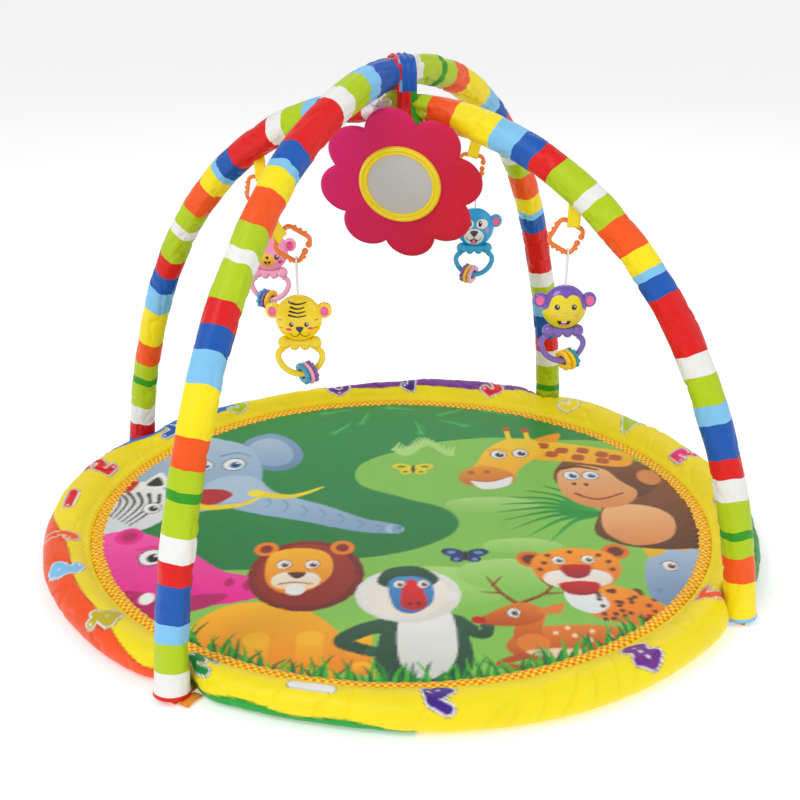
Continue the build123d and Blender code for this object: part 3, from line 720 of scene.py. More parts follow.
def build_trim(cloth):
    """The chequered tape over the seam between mat and rim."""
    around, across = 1120, 9
    points = []
    for i in range(around):
        a = 2 * math.pi * i / around
        for k in range(across):
            t = k / (across - 1)
            far = SEAM_RADIUS - 0.0180 + 0.0172 * t + 0.0004 * math.sin(37 * a)
            z = MAT_TOP - 0.0012 + 0.0026 * math.sin(math.pi * t) + 0.0016 * t + 0.0005 * math.sin(160 * a)
            points.append((far * math.cos(a), far * math.sin(a), z))
    faces = grid_faces(around, across, True)
    trim = new_piece("seam_trim", points, faces, cloth, "mat", ("seam_trim_band",))
    thicken(trim, 0.0008)
    checks = (rgb("fbe218"), rgb("ee8a10"))
    tones = [checks[(i // 2 + k // 2) % 2] for i in range(around) for k in range(across - 1)]
    paint_faces(trim, tones)


# ---- arches ----------------------------------------------------------------------------
class Arch:
    """Five tangent arcs over two opposite feet; s is the length from the crown."""

    def __init__(self, height, azimuth):
        a, b = math.sin(CROWN), math.sin(FOOT) - math.sin(KNEE)
        c, d = 1 - math.cos(CROWN), math.cos(KNEE) - math.cos(FOOT)
        reach = FOOT_RADIUS - SHOULDER_RADIUS * (math.sin(KNEE) - math.sin(CROWN))
        rise = height - SHOULDER_RADIUS * (math.cos(CROWN) - math.cos(KNEE))
        det = a * d - b * c
        crown, leg = (reach * d - b * rise) / det, (a * rise - c * reach) / det
        self.arcs, start, turn, out, up = [], 0.0, 0.0, 0.0, height - crown
        for radius, end in ((crown, CROWN), (SHOULDER_RADIUS, KNEE), (leg, math.pi)):
            if self.arcs:
                step = self.arcs[-1][0] - radius
                out, up = out + step * math.sin(turn), up + step * math.cos(turn)
            self.arcs.append((radius, start, turn, out, up))
            start, turn = start + radius * (end - turn), end
        self.across = Vector((math.cos(azimuth), math.sin(azimuth), 0))

    def at(self, s):
        """Centre, direction of growing s, outward normal and sideways direction."""
        radius, start, turn, out, up = [arc for arc in self.arcs if arc[1] <= abs(s)][-1]
        turn += (abs(s) - start) / radius
        side = math.copysign(1, s)
        far, height = out + radius * math.sin(turn), up + radius * math.cos(turn)
        centre = self.across * side * far + Vector((0, 0, height))
        normal = self.across * side * math.sin(turn) + Vector((0, 0, math.cos(turn)))
        along = self.across * math.cos(turn) - Vector((0, 0, side * math.sin(turn)))
        return centre, along, normal, along.cross(normal)

    def length_to(self, z):
        """Length from the crown at which a leg is down to height z."""
        radius, start, turn, _, up = self.arcs[-1]
        return start + radius * (math.acos((z - up) / radius) - turn)


# widths in millimetres and colours of the striped cloth, which then repeats
STRIPES = [(24, WHITE), (32, LIME), (21, SKY), (40, BLUE), (23, RED), (26, WHITE), (34.5, LIME), (10, GREEN),
           (21, LIME), (31, ORANGE), (50, YELLOW), (31, SKY), (24, BLUE), (24.5, RED), (38.5, LIME),
           (14, WHITE), (26, LIME), (38, ORANGE), (24.5, YELLOW), (9.5, SKY), (22.5, BLUE), (67, RED)]
REPEAT = sum(width for width, _ in STRIPES)


def stripe(s):
    """Colour of the striped cloth at a length in millimetres along it."""
    s %= REPEAT
    for width, colour in STRIPES:
        if s < width:
            return colour
        s -= width
    return STRIPES[-1][1]


def upper_stripe(s):
    if s > 0:
        s = s * 0.92 if s < 530 else s - 42
    return stripe(s + 144)


def lower_stripe(s):
    if s < -249:
        s = -249 + (s + 249) / 1.07
    if s > 746:
        return SKY
    return stripe(s + (190 if s > 0 else 181))


def stripe_rows(colour_at, end):
    """Lengths of the rows of points, with one on every border between stripes, and their colours."""
    places = np.arange(-end, end, 0.0004)
    tones = [colour_at(s / MM) for s in places]
    borders = [0] + [i for i in range(1, len(places)) if tones[i] != tones[i - 1]] + [len(places) - 1]
    rows, colours = [-end], []
    for a, b in zip(borders, borders[1:]):
        steps = max(1, round((places[b] - places[a]) / 0.0023))
        for k in range(steps):
            rows.append(places[a] + (places[b] - places[a]) * (k + 1) / steps)
            colours.append(tones[a])
    rows[-1] = end
    return rows, colours


def build_sleeve(name, arch, cloth, colour_at, seed, replaced):
    """A striped tube of cloth, gathered where the arches cross and creased along its bends."""
    end = arch.length_to(0.0045)
    lengths, colours = stripe_rows(colour_at, end)
    rows, columns = len(lengths), 48
    points, tones = [], []
    for row in lengths:
        calm = min(1.0, (end - abs(row)) / 0.03)
        gather = math.exp(-((row / 0.050) ** 2))
        for k in range(columns):
            t = 2 * math.pi * k / columns
            ct, st = math.cos(t), math.sin(t)
            lean = 0.0016 * math.sin(t + seed) + 0.0030 * noise.noise(Vector((row * 9 + seed, ct, st)))
            s = row + lean * calm
            centre, _, normal, side = arch.at(s)
            inner = (1 - ct) / 2
            n = noise.noise(Vector((s * 30 + seed, ct * 1.2, st * 1.2)))
            m = noise.noise(Vector((s * 17 - seed, ct * 1.5 + 9, st * 1.5)))
            fold = noise.noise(Vector((s * 26 + seed, ct * 0.9 + 7, st * 0.9)))
            r = SLEEVE_RADIUS - 0.0002 + 0.0013 * fold + 0.0006 * noise.noise(Vector((s * 9, t, seed)))
            r -= 0.0019 * math.exp(-((n / 0.09) ** 2)) * (0.35 + 0.65 * inner) * calm
            r -= 0.0014 * math.exp(-((m / 0.07) ** 2)) * calm * (0.4 + 0.6 * math.exp(-((s / 0.35) ** 2)))
            pleat = 0.5 + 0.5 * math.cos(8 * t + 4 * noise.noise(Vector((s * 30, 0, seed))))
            r -= gather * (0.0012 + 0.0030 * pleat)
            seam = ((t - 1.9 + math.pi) % (2 * math.pi)) - math.pi
            r -= 0.0011 * math.exp(-((seam / 0.07) ** 2))
            r += 0.0020 * math.exp(-(end - abs(s)) / 0.010)
            points.append(centre + normal * (r * ct) + side * (r * st))
    for tone in colours:
        tones += [tone] * columns
    faces = [tuple(f) for f in grid_faces(rows, columns, False, True)]
    caps = []
    for row in (0, rows - 1):
        centre = arch.at(-end if row == 0 else end)[0]
        first = len(points)
        for k in range(columns):
            points.append(centre + (points[row * columns + k] - centre) * 0.72)
        for k in range(columns):
            k2 = (k + 1) % columns
            quad = (row * columns + k, row * columns + k2, first + k2, first + k)
            caps.append(quad[::-1] if row == 0 else quad)
            tones.append(colours[0 if row == 0 else -1])
    sleeve = new_piece(name, points, faces + caps, cloth, "frame", replaced)
    paint_faces(sleeve, tones)


# ---- small cloth parts -----------------------------------------------------------------
def tape_mesh(line, across, width, closed=False, pleat=0.0, steps=7):
    """Points and faces of a flat tape along the line, as wide as stated along the across direction."""
    count = len(line)
    points = []
    for i, p in enumerate(line):
        before = line[(i - 1) % count if closed else max(i - 1, 0)]
        after = line[(i + 1) % count if closed else min(i + 1, count - 1)]
        along = (Vector(after) - Vector(before)).normalized()
        flat = (Vector(across) - along * along.dot(Vector(across))).normalized()
        for k in range(steps):
            t = k / (steps - 1) - 0.5
            sag = 0.0004 * math.cos(math.pi * t) + 0.0002 * math.sin(i * 0.9 + 5 * t)
            sag += pleat * math.cos(20 * t + 0.2 * i)
            points.append(Vector(p) + flat * (width * t) + along.cross(flat) * sag)
    return points, grid_faces(count, steps, closed)


def ribbon(name, line, across, width, thickness, cloth, body, replaced=(), closed=False,
           pleat=0.0, steps=7):
    points, faces = tape_mesh(line, across, width, closed, pleat, steps)
    tape = new_piece(name, points, faces, cloth, body, replaced)
    thicken(tape, thickness, 0)
    return tape


# the bow's loops: place along the arches, height, side, rise and reach
BOW_LOOPS = ((0.031, 0.523, 1, 0.50, 0.013), (0.030, 0.520, -1, 0.70, 0.010), (-0.016, 0.512, -1, 0.1, 0.009))
LOOP_SHAPE = [(0.05, 0.05, 0), (0.5, 0.42, 1), (1, 0.26, 1.6), (1.02, -0.15, 1.6), (0.5, -0.34, 1),
              (0.05, -0.05, 0)]
TAIL_SHAPE = [(0.05, 0), (0.35, 0.5), (0.5, 1.1), (0.75, 1.5)]


def build_tie(cloth, band_cloth):
    """The bunched band of striped cloth round the crossing, and the white ribbon tied to it."""
    forward = Vector((math.cos(FRONT), math.sin(FRONT), 0))
    side = Vector((math.cos(FRONT - math.pi / 2), math.sin(FRONT - math.pi / 2), 0))
    outline = [(-27, 508), (0, 500.2), (27, 504), (42, 501), (43.5, 506), (37, 511), (28, 520), (27, 545),
               (24, 561), (13, 570.2), (-13, 570.2), (-24, 561), (-28, 545), (-29, 522)]
    line = [forward * (p * MM) + Vector((0, 0, z * MM)) for p, z in curve_through(outline, True, 6)]
    band = ribbon("crossing_band", line, side, 0.022, 0.0006, band_cloth, "frame", ("crossing_tie",),
                  True, 0.0011, 17)
    tones = []
    for place in line:
        low = place.z < 0.536
        tones += ([GREEN] * 5 + [RED] * 11) if low else ([BLUE] * 12 + [SKY] * 2 + [RED] * 2)
    paint_faces(band, tones)
    for number, (x, z, spread, rise, reach) in enumerate(BOW_LOOPS):
        knot = forward * 0.0320 + side * x + Vector((0, 0, z + 0.003))
        out = (side * spread + Vector((0, 0, rise))).normalized()
        up = Vector((0, 0, 1)) - out * out.z
        loop = [knot + out * (reach * a) + up * (reach * b) + forward * (0.003 * c)
                for a, b, c in curve_through(LOOP_SHAPE, False, 5)]
        across = forward + side * 0.5 + Vector((0, 0, 0.5))
        ribbon(f"bow_loop_{number}", loop, across, 0.009, 0.0005, cloth, "frame", ())
        tail = [knot + out * (reach * a) + Vector((0, 0, -reach * b)) + forward * 0.001
                for a, b in curve_through(TAIL_SHAPE, False, 5)]
        ribbon(f"bow_tail_{number}", tail, forward * 0.3 + side, 0.007, 0.0005, cloth, "frame", ())


def build_tabs(cloth):
    """Folded tapes from the arches round the tops of the links."""
    node = frame["nodes"]["toy_tabs"]
    corners = [node.matrix_world @ v.co for v in node.data.vertices]
    points, faces = [], []
    for hinge in frame["joints"]:
        if not hinge["name"].endswith("_link_swing"):
            continue
        bar, along = Vector(hinge["pos_m"]), Vector(hinge["axis"])
        near = [p for p in corners if (p - bar).length < 0.055]
        far = max((p - bar).length for p in near)
        ends = [p for p in near if (p - bar).length > far - 0.012]
        top = sum(ends, Vector()) / len(ends) - bar
        up = top.normalized()
        flat = (along - up * along.dot(up)).normalized()
        out = up.cross(flat)
        radius, rise = 0.0033, top.length + 0.010
        half = [(rise, 0.0006), (rise * 0.5, 0.0007), (radius * 1.5, 0.0022)]
        turns = [math.radians(a) for a in range(-10, 200, 15)]
        loop = [(x, w) for x, w in half] + [(-radius * math.sin(a), radius * math.cos(a)) for a in turns]
        loop += [(x, -w) for x, w in half[::-1]]
        mesh_points, mesh_faces = tape_mesh([bar + up * x + out * w for x, w in loop], flat, 0.0135)
        faces.append(mesh_faces + len(points))
        points += mesh_points
    tabs = new_piece("toy_tapes", points, np.vstack(faces), cloth, "frame", ("toy_tabs",))
    thicken(tabs, 0.0008, 0)


def build_straps(cloth):
    """Tape ends that come out from under the rim beside each foot."""
    points, faces = [], []
    for k in range(4):
        azimuth = AZIMUTH + k * math.pi / 2
        out = Vector((math.cos(azimuth), math.sin(azimuth), 0))
        side = Vector((-out.y, out.x, 0))
        for start, end, shift, width, lift in ((0.396, 0.458, 0.0, 0.028, 0.0),
                                               (0.432, 0.456, 0.022, 0.012, 0.0018)):
            line = [out * (start + (end - start) * n / 12) + side * shift
                    + Vector((0, 0, 0.0012 + lift * math.sin(math.pi * n / 12))) for n in range(13)]
            mesh_points, mesh_faces = tape_mesh(line, side, width)
            faces.append(mesh_faces + len(points))
            points += mesh_points
    straps = new_piece("strap_ends", points, np.vstack(faces), cloth, "mat", ("anchor_straps",))
    thicken(straps, 0.0009, 0)


# ---- toys ------------------------------------------------------------------------------
HEAD_RADIUS, FACE_DEPTH, EAR_RADIUS = 0.0245, 0.0128, 0.008
EAR_SPREAD, EAR_RISE = 0.0267, 0.0078
HANDLE_RADIUS, HANDLE_DROP, CORD_DROP = 0.024, 0.038, 0.060
RING_STEP = math.degrees(math.asin(5 / 24))
SKINS = {"tiger": rgb("fbdc10"), "monkey": rgb("7c62b8"), "blue_bear": rgb("1ca8dc"),
         "pink_bear": rgb("f6a8cc")}


def face_tiger(art):
    for y, w in ((18, 9), (13.5, 7), (9.5, 8), (5.5, 9)):
        art.stroke([(-w, y + 0.8), (0, y - 0.8), (w, y + 0.8)], 2.2, 1.2, BLACK)
    art.oval(-10, -9, 3.2, 1.5, PINK)
    art.oval(12.7, -8, 3.2, 1.5, PINK)
    for side in (-1, 1):
        art.stroke([(side * 17, 0.5), (side * 21, 1.2)], 1, 0.6, BLACK)
        art.stroke([(side * 16.5, -8), (side * 20, -7.4)], 1, 0.6, BLACK)
    art.smooth([(-2.6, -6.4), (1.5, -5.6), (5.4, -6.4), (4.2, -10), (1.5, -12.6), (-1.4, -10)], BLACK)
    art.stroke([(1.5, -12.5), (-1.5, -16.6), (-6, -17), (-9, -13.5)], 1, 0.8, BLACK)
    art.stroke([(1.5, -12.5), (4.5, -16.6), (9, -17), (12, -13.5)], 1, 0.8, BLACK)
    for x in (-7, 8.6):
        art.oval(x, -3.6, 2.3, 2.6, BLACK)
        art.oval(x + 0.7, -2.8, 0.8, 0.8, WHITE)


def face_monkey(art):
    art.smooth([(0, 12.3), (4, 15.2), (8.5, 15.6), (14, 13), (17, 7), (18.5, 1.5), (23.5, -3), (23.6, -9),
                (20, -16), (13, -21.5), (0, -23.4), (-13, -21.5), (-20, -16), (-23.6, -9), (-23.5, -3),
                (-18.5, 1.5), (-17, 7), (-14, 13), (-8.5, 15.6), (-4, 15.2)], rgb("f0e048"), rgb("d8c430"))
    for side in (-1, 1):
        art.oval(side * 9.2, 3, 2.9, 3.1, BLACK)
        art.oval(side * 9.2 + 0.8, 4, 0.9, 0.9, WHITE)
        art.oval(side * 11.5, -7, 2.6, 1.4, rgb("f0b070"))
        art.oval(side * 1.1, -3.6, 0.5, 0.5, rgb("b86c3c"))
    art.smooth([(-8, -12.4), (-1, -13.4), (6.5, -12.4), (4.5, -17), (-1, -19), (-6, -17)], BLACK)
    art.outline([(-3.4, -13.2), (-0.9, -13.3), (-0.9, -15.2), (-3.4, -15)], WHITE)
    art.outline([(-0.5, -13.3), (2, -13.2), (2, -15), (-0.5, -15.2)], WHITE)
    art.oval(-1, -17.4, 4, 1.3, rgb("f08cb0"))


def face_blue_bear(art):
    art.oval(-1.5, -10, 12.5, 10.5, WHITE, rgb("d8e8f0"))
    art.oval(-9.5, 6.4, 7.4, 6, WHITE)
    art.oval(8.5, 6.4, 7.4, 6, WHITE)
    for x in (-7, 6):
        art.oval(x, 6.8, 2.3, 3.9, BLACK)
        art.oval(x + 0.4, 8.4, 0.8, 1, WHITE)
    art.oval(15, -1.5, 2.4, 3, rgb("c890d0"))
    art.oval(-17, -1.5, 2.4, 3, rgb("c890d0"))
    art.smooth([(-6.5, -3), (-1.5, -1.4), (3.6, -3), (2, -7), (-1.5, -9.6), (-5, -7)], BLACK)
    art.smooth([(-6, -14), (-1.5, -13), (3, -14), (1.4, -19), (-1.5, -20.4), (-4.6, -19)], BLACK)
    art.oval(-1.5, -17, 3, 3.2, rgb("f07ca4"))
    art.stroke([(-1.5, -9.6), (-4, -14.4), (-9, -14), (-11.5, -10.5)], 0.9, 0.8, BLACK)
    art.stroke([(-1.5, -9.6), (1, -14.4), (6, -14), (8.5, -10.5)], 0.9, 0.8, BLACK)


def face_pink_bear(art):
    art.oval(-1, -8.5, 9, 8.5, rgb("f8c848"), rgb("e8b030"))
    art.oval(-1, -5, 2.2, 1.8, BLACK)
    art.stroke([(-1, -6.5), (-1, -9.6)], 0.7, 0.7, BLACK)
    art.smooth([(-5.4, -9.4), (-1, -10.6), (3.6, -9.4), (1.8, -13), (-1, -14.2), (-4, -13)], BLACK)
    art.oval(-1, -12.6, 1.8, 1.1, rgb("f07ca4"))
    for x in (-12, 11):
        art.oval(x, -4.5, 3.4, 3.5, rgb("4c4c54"))
        art.oval(x + 1, -3.2, 1.1, 1.1, WHITE)
        art.oval(x + (3.6 if x > 0 else -3.6), -11, 2.7, 2.5, rgb("e84c94"))


FACES = {"tiger": face_tiger, "monkey": face_monkey, "blue_bear": face_blue_bear, "pink_bear": face_pink_bear}


def build_face(name, head, material):
    """The front of the head and its two ears, with the printed face."""
    count = 121
    x, y = round_grid(count)
    far = np.hypot(x, y)
    depth = FACE_DEPTH * np.sqrt(np.clip(1 - far**2.3, 0, 1))
    points = np.stack([head[0] + x * HEAD_RADIUS, head[1] - depth, head[2] + y * HEAD_RADIUS], 1)
    art = Print(x * HEAD_RADIUS / MM, y * HEAD_RADIUS / MM, SKINS[name], 0.3)
    FACES[name](art)
    faces = grid_faces(count, count)
    all_points, all_faces, all_tones = [points], [faces[:, ::-1]], [art.blended()]
    for side in (-1, 1):
        ear_count = 41
        ex, ey = round_grid(ear_count)
        r = np.hypot(ex, ey)
        bowl = 0.0038 * np.sqrt(np.clip(1 - r**4, 0, 1)) - 0.0016 * np.exp(-((r / 0.55) ** 4))
        ear = np.stack([head[0] + side * EAR_SPREAD + ex * EAR_RADIUS, head[1] - bowl,
                        head[2] + EAR_RISE + ey * EAR_RADIUS], 1)
        tones = Print(ex * 8, ey * 8, SKINS[name], 0.3)
        tones.oval(side * 0.4, 0, 4.6, 5.4, rgb("f07ca8") if name != "pink_bear" else rgb("e8589c"))
        start = sum(len(p) for p in all_points)
        all_points.append(ear)
        all_faces.append(grid_faces(ear_count, ear_count)[:, ::-1] + start)
        all_tones.append(tones.blended())
    piece = new_piece(f"{name}_face_front", np.vstack(all_points), np.vstack(all_faces), material,
                      f"{name}_toy", (f"{name}_face",))
    paint_points(piece, np.vstack(all_tones))


def ring_radius_at(kind, a):
    if kind == "flower":
        return 0.0112 + 0.0013 * abs(math.cos(4 * a)) ** 0.7
    if kind == "gear":
        return 0.0114 + 0.0011 * math.tanh(3.5 * math.cos(10 * a))
    return 0.0125


def build_ring(name, kind, number, head, middle, material):
    """One rattle ring with rounded edges, threaded on the handle."""
    sign = math.copysign(1, middle)
    turn = math.radians(middle + sign * RING_STEP * (number - 2))
    stack = math.radians(middle)
    drop = HANDLE_DROP + HANDLE_RADIUS * math.cos(turn)
    centre = Vector(head) + Vector((HANDLE_RADIUS * math.sin(turn), 0, -drop))
    along = Vector((math.cos(stack), 0, math.sin(stack)))
    up = Vector((-math.sin(stack), 0, math.cos(stack)))
    lean = math.radians((34, 36, 35)[number - 1]) * sign
    axis = along * math.cos(lean) + Vector((0, math.sin(lean), 0))
    side = Vector((0, math.cos(lean), 0)) - along * math.sin(lean)
    around, across, hole = 120, 20, 0.0055
    points = []
    for i in range(around):
        a = 2 * math.pi * i / around
        outer = ring_radius_at(kind, a)
        for k in range(across):
            t = 2 * math.pi * k / across
            c = math.copysign(abs(math.cos(t)) ** 0.6, math.cos(t))
            s = math.copysign(abs(math.sin(t)) ** 0.6, math.sin(t))
            r = (outer + hole) / 2 + (outer - hole) / 2 * c
            points.append(centre + (up * math.cos(a) + side * math.sin(a)) * r + axis * (0.00195 * s))
    new_piece(f"{name}_rattle_ring_{number}", points, grid_faces(around, across, True, True), material,
              f"{name}_ring_{number}", (f"{name}_ring_{kind}",))


def build_cord(name, hook, material):
    """The string from inside the head, over the link and back, as one smooth curve."""
    ends, low, reach = 0.0013, 0.0415, 0.0041
    route = [(-ends, -low), (-0.0034, -0.012), (-reach, reach), (reach, reach), (0.0034, -0.012),
             (ends, -low)]
    curve = bpy.data.curves.new(f"{name}_string", "CURVE")
    curve.dimensions = "3D"
    curve.bevel_depth = 0.001
    curve.bevel_resolution = 4
    curve.resolution_u = 16
    spline = curve.splines.new("NURBS")
    spline.points.add(len(route) - 1)
    for point, (y, z) in zip(spline.points, route):
        point.co = (hook[0], hook[1] + y, hook[2] + z, 1)
    spline.order_u = 3
    spline.use_endpoint_u = True
    curve.materials.append(material)
    cord = bpy.data.objects.new(f"{name}_string", curve)
    bpy.context.scene.collection.objects.link(cord)
    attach(cord, f"{name}_toy")
    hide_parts(f"{name}_cord")


# where the rings sit on the handle in degrees, their kinds and their colours
TOYS = {"tiger": (17, ("flower", "round", "gear"), ("blue", "pink", "purple")),
        "monkey": (19, ("flower", "round", "gear"), ("yellow", "yellow", "teal")),
        "blue_bear": (-15, ("flower", "round", "gear"), ("pink", "yellow", "purple")),
        "pink_bear": (-12, ("round", "flower", "gear"), ("yellow", "purple", "blue"))}
RING_COLOURS = {"blue": rgb("1ca4d4"), "pink": rgb("f4b0cc"), "purple": rgb("8c5cb0"),
                "yellow": rgb("fbcc14"), "teal": rgb("12a0b4")}


def build_toys(string):
    printed = plastic("printed_shell")
    link_plastic = plastic("link_plastic", rgb("f47c1c"))
    bead = plastic("bead_plastic", WHITE)
    rings = {tone: plastic(f"ring_{tone}", colour) for tone, colour in RING_COLOURS.items()}
    for name, (middle, kinds, tones) in TOYS.items():
        hook = joint_place(f"{name}_toy_swing")
        head = hook - Vector((0, 0, CORD_DROP))
        build_face(name, head, printed)
        build_cord(name, hook, string)
        shell = plastic(f"{name}_plastic", SKINS[name])
        dress(f"{name}_back", shell)
        dress(f"{name}_link", link_plastic)
        dress(f"{name}_beads", bead)
        for number, (kind, tone) in enumerate(zip(kinds, tones), 1):
            build_ring(name, kind, number, head, middle, rings[tone])


def dress(node, material):
    """Gives a CAD node its material."""
    mesh = frame["nodes"][node].data
    mesh.materials.clear()
    mesh.materials.append(material)


# ---- flower mirror ---------------------------------------------------------------------
YAW, TILT, ROLL = (math.radians(a) for a in (11.4, 19.4, -5.6))
FLOWER_DROP, FLOWER_SHIFT = 0.0585, -0.0087
TIP_RADIUS, NOTCH_RADIUS, PETALS = 0.0928, 0.0758, 8
MIRROR_RADIUS = 0.0376


def flower_frame():
    """The flower's middle, its two directions and the way it faces."""
    across = Vector((math.cos(YAW), -math.sin(YAW), 0))
    facing = Vector((-math.sin(YAW), -math.cos(YAW), 0))
    face = facing * math.cos(TILT) - Vector((0, 0, math.sin(TILT)))
    upright = facing * math.sin(TILT) + Vector((0, 0, math.cos(TILT)))
    x = across * math.cos(ROLL) - upright * math.sin(ROLL)
    y = face.cross(x)
    centre = joint_place("mirror_swing") + across * FLOWER_SHIFT - Vector((0, 0, FLOWER_DROP))
    return centre, x, y, face


def petal_reach(a):
    """Radius of the flower's outline at an angle from a petal's middle."""
    notch_x = NOTCH_RADIUS * math.cos(math.pi / PETALS)
    middle = (TIP_RADIUS**2 - NOTCH_RADIUS**2) / (2 * (TIP_RADIUS - notch_x))
    radius = TIP_RADIUS - middle
    step = 2 * math.pi / PETALS
    a = (a + step / 2) % step - step / 2
    return middle * math.cos(a) + math.sqrt(max(radius**2 - (middle * math.sin(a)) ** 2, 0))


def build_flower(cloth):
    """The satin flower, nearly flat in front and fuller behind."""
    centre, x, y, face = flower_frame()
    around, steps = 384, 36
    points, tones = [], []
    for side in (1, -1):
        for i in range(around):
            a = 2 * math.pi * i / around
            reach = petal_reach(a - math.pi / 2) - 0.0008
            for k in range(steps):
                t = (k / (steps - 1)) ** 0.75
                puff = math.sqrt(max(1 - t ** (16 if side > 0 else 7), 0)) * (0.0052 if side > 0 else 0.0088)
                r = reach * t
                waver = 0.0007 * noise.noise(Vector((r * math.cos(a), r * math.sin(a), side)) * 42)
                calm = t > 0.98 or (side > 0 and r < 0.047)
                height = side * (puff + (0 if calm else waver)) + 0.0030 * t**4
                points.append(centre + x * (r * math.cos(a)) + y * (r * math.sin(a)) + face * height)
                # painted light and shade: the colour runs from red on one side of the flower to lighter
                # magenta on the other
                mix = min(max(0.42 + (math.cos(a - 2.6) * r / 0.09) * 0.62, 0), 1)
                tones.append(np.array(rgb("cc1c46")) * (1 - mix) + np.array(rgb("cc2074")) * mix)
    faces = grid_faces(around, steps, True)
    back = faces[:, ::-1] + around * steps
    flower = new_piece("flower", points, np.vstack([faces, back]), cloth, "mirror",
                       ("flower_front", "flower_back", "flower_padding"))
    paint_points(flower, np.array(tones))


def build_mirror(bezel_plastic, glass, ribbon_cloth):
    """The mirror, its bezel and the ribbon that ties the flower to the crossing."""
    centre, x, y, face = flower_frame()
    middle = centre + y * 0.0022
    points = []
    profile = curve_through([(45.6, 4.6), (45.8, 7.2), (44.2, 8.8), (42.2, 9.0), (41.4, 8.1), (39.8, 8.0),
                             (37.9, 8.1), (36.6, 7.0), (36.4, 5.4), (39.0, 4.6)], True, 5)
    for i in range(160):
        a = 2 * math.pi * i / 160
        for r, h in profile:
            points.append(middle + (x * math.cos(a) + y * math.sin(a)) * (r * MM) + face * (h * MM))
    new_piece("mirror_frame", points, grid_faces(160, len(profile), True, True)[:, ::-1], bezel_plastic,
              "mirror", ("mirror_bezel",))
    u, v = round_grid(41)
    points = []
    for p, q in zip(u, v):
        bulge = 0.0062 - 0.0004 * (p * p + q * q)
        points.append(middle + x * (p * MIRROR_RADIUS) + y * (q * MIRROR_RADIUS) + face * bulge)
    plate = new_piece("mirror_plate", points, grid_faces(41, 41), glass, "mirror", ("mirror_disc",))
    thicken(plate, 0.001)
    top = joint_place("mirror_swing")
    over = Vector((math.cos(FRONT), math.sin(FRONT), 0))
    loop = [(0, -27), (4, -16), (5, -6), (5.5, 2), (2.5, 4.8), (-2.5, 4.8), (-5.5, 2), (-5, -6), (-2, -14),
            (-1, -27)]
    line = [top + over * (p * MM) + Vector((0, 0, z * MM)) for p, z in curve_through(loop, False, 5)]
    ribbon("mirror_ribbon", line, x, 0.008, 0.0006, ribbon_cloth, "mirror", ("mirror_hanger",))


# ---- stage -----------------------------------------------------------------------------
def area_light(name, place, size, power, target=(0, 0, 0.2)):
    light = bpy.data.lights.new(name, "AREA")
    light.shape, light.size, light.energy = "DISK", size, power
    lamp = bpy.data.objects.new(name, light)
    lamp.location = place
    lamp.rotation_euler = (Vector(target) - Vector(place)).to_track_quat("-Z", "Y").to_euler()
    bpy.context.scene.collection.objects.link(lamp)


def build_stage():
    material, tree, shader = new_material("floor_paint")
    tint = tinted(tree, rgb("f6f6f6"), 3, 0.02)
    tree.links.new(tint.outputs["Result"], shader.inputs["Base Color"])
    shader.inputs["Roughness"].default_value = 0.9
    shader.inputs["Emission Color"].default_value = (1, 1, 1, 1)
    shader.inputs["Emission Strength"].default_value = 0.32
    points = [(-12, -4, -0.001), (12, -4, -0.001), (12, 16, -0.001), (-12, 16, -0.001)]
    mesh = bpy.data.meshes.new("floor")
    mesh.from_pydata(points, [], [(0, 1, 2, 3)])
    floor = bpy.data.objects.new("floor", mesh)
    mesh.materials.append(material)
    bpy.context.scene.collection.objects.link(floor)
    world = bpy.data.worlds.new("studio")
    world.use_nodes = True
    world.node_tree.nodes["Background"].inputs["Color"].default_value = (1, 1, 1, 1)
    world.node_tree.nodes["Background"].inputs["Strength"].default_value = 0.62
    bpy.context.scene.world = world
    area_light("key", (-1.2, -1.6, 2.4), 1.4, 26)
    area_light("fill", (1.8, -1.0, 1.6), 2.0, 7)
    area_light("back", (0.3, 2.2, 2.2), 1.6, 8)
    camera_data = bpy.data.cameras.new("camera")
    camera_data.sensor_width = 36
    camera_data.lens = 53.11
    camera_data.shift_x, camera_data.shift_y = -0.0013, 0.1532
    camera = bpy.data.objects.new("camera", camera_data)
    camera.location = (0, -1.3664, 0.7137)
    camera.rotation_euler = (-camera.location).to_track_quat("-Z", "Y").to_euler()
    bpy.context.scene.collection.objects.link(camera)
    bpy.context.scene.camera = camera
    bpy.context.scene.view_settings.view_transform = "Standard"


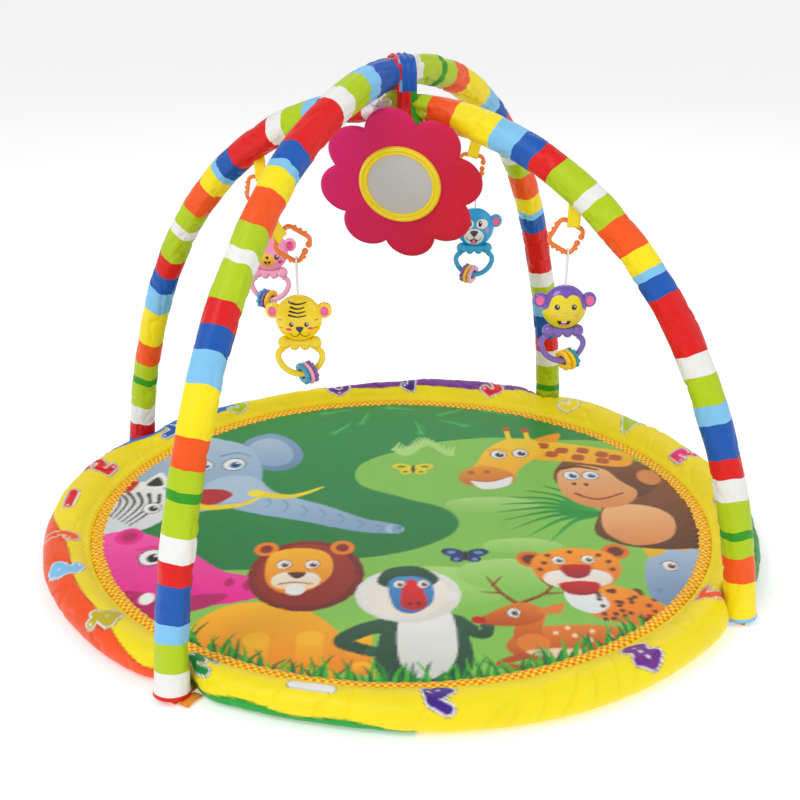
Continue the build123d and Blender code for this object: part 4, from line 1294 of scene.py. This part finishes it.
# ---- assembly --------------------------------------------------------------------------
print_cloth = fabric("printed_cloth", None, 0.42, 0.03, 0.0007, 0.15)
rim_cloth = fabric("rim_cloth", None, 0.42, 0.04, 0.0007, 0.30)
sleeve_cloth = fabric("striped_cloth", None, 0.44, 0.04, 0.0007, 0.6)
ribbon_cloth = fabric("white_ribbon", rgb("f6f6f4"), 0.5, 0.3, 0.0005, 0.2)
tab_cloth = fabric("yellow_tape", rgb("ffe410"), 0.6, 0.2, 0.0009, 0.1)
strap_cloth = fabric("orange_strap", rgb("f09418"), 0.55, 0.1, 0.0008, 0.3)
felt = fabric("flower_satin", None, 0.6, 0.10, 0.0006, 0.08)
string = fabric("white_string", rgb("f2f2f2"), 0.7, 0.2, 0.0004, 0.1)
hard_white = plastic("white_plastic", rgb("dcdcdc"), 0.35)
steel = metal("ferrule_steel", rgb("b0b0b4"), 0.3)
glass = metal("mirror_film", rgb("c4c8ce"), 0.30)
glass.node_tree.nodes["Principled BSDF"].inputs["Metallic"].default_value = 0.2
bezel_plastic = plastic("bezel_plastic", rgb("f2d810"))

build_mat(print_cloth)
build_rim(rim_cloth)
build_trim(rim_cloth)
upper, lower = Arch(UPPER_HEIGHT, AZIMUTH), Arch(LOWER_HEIGHT, AZIMUTH + math.pi / 2)
build_sleeve("upper_sleeve", upper, sleeve_cloth, upper_stripe, 1.0,
             ("sleeve_cover_upper", "sleeve_wadding_upper"))
build_sleeve("lower_sleeve", lower, sleeve_cloth, lambda s: lower_stripe(-s), 4.0,
             ("sleeve_cover_lower", "sleeve_wadding_lower"))
build_tie(ribbon_cloth, sleeve_cloth)
build_tabs(tab_cloth)
build_straps(strap_cloth)
build_toys(string)
build_flower(felt)
build_mirror(bezel_plastic, glass, ribbon_cloth)
dress("foot_pockets", hard_white)
dress("foot_plugs", hard_white)
dress("pole_ferrules", steel)
for section in ("back_right", "back_left", "front_left", "front_right", "upper_crown", "lower_crown"):
    dress(f"pole_{section}", hard_white)
build_stage()
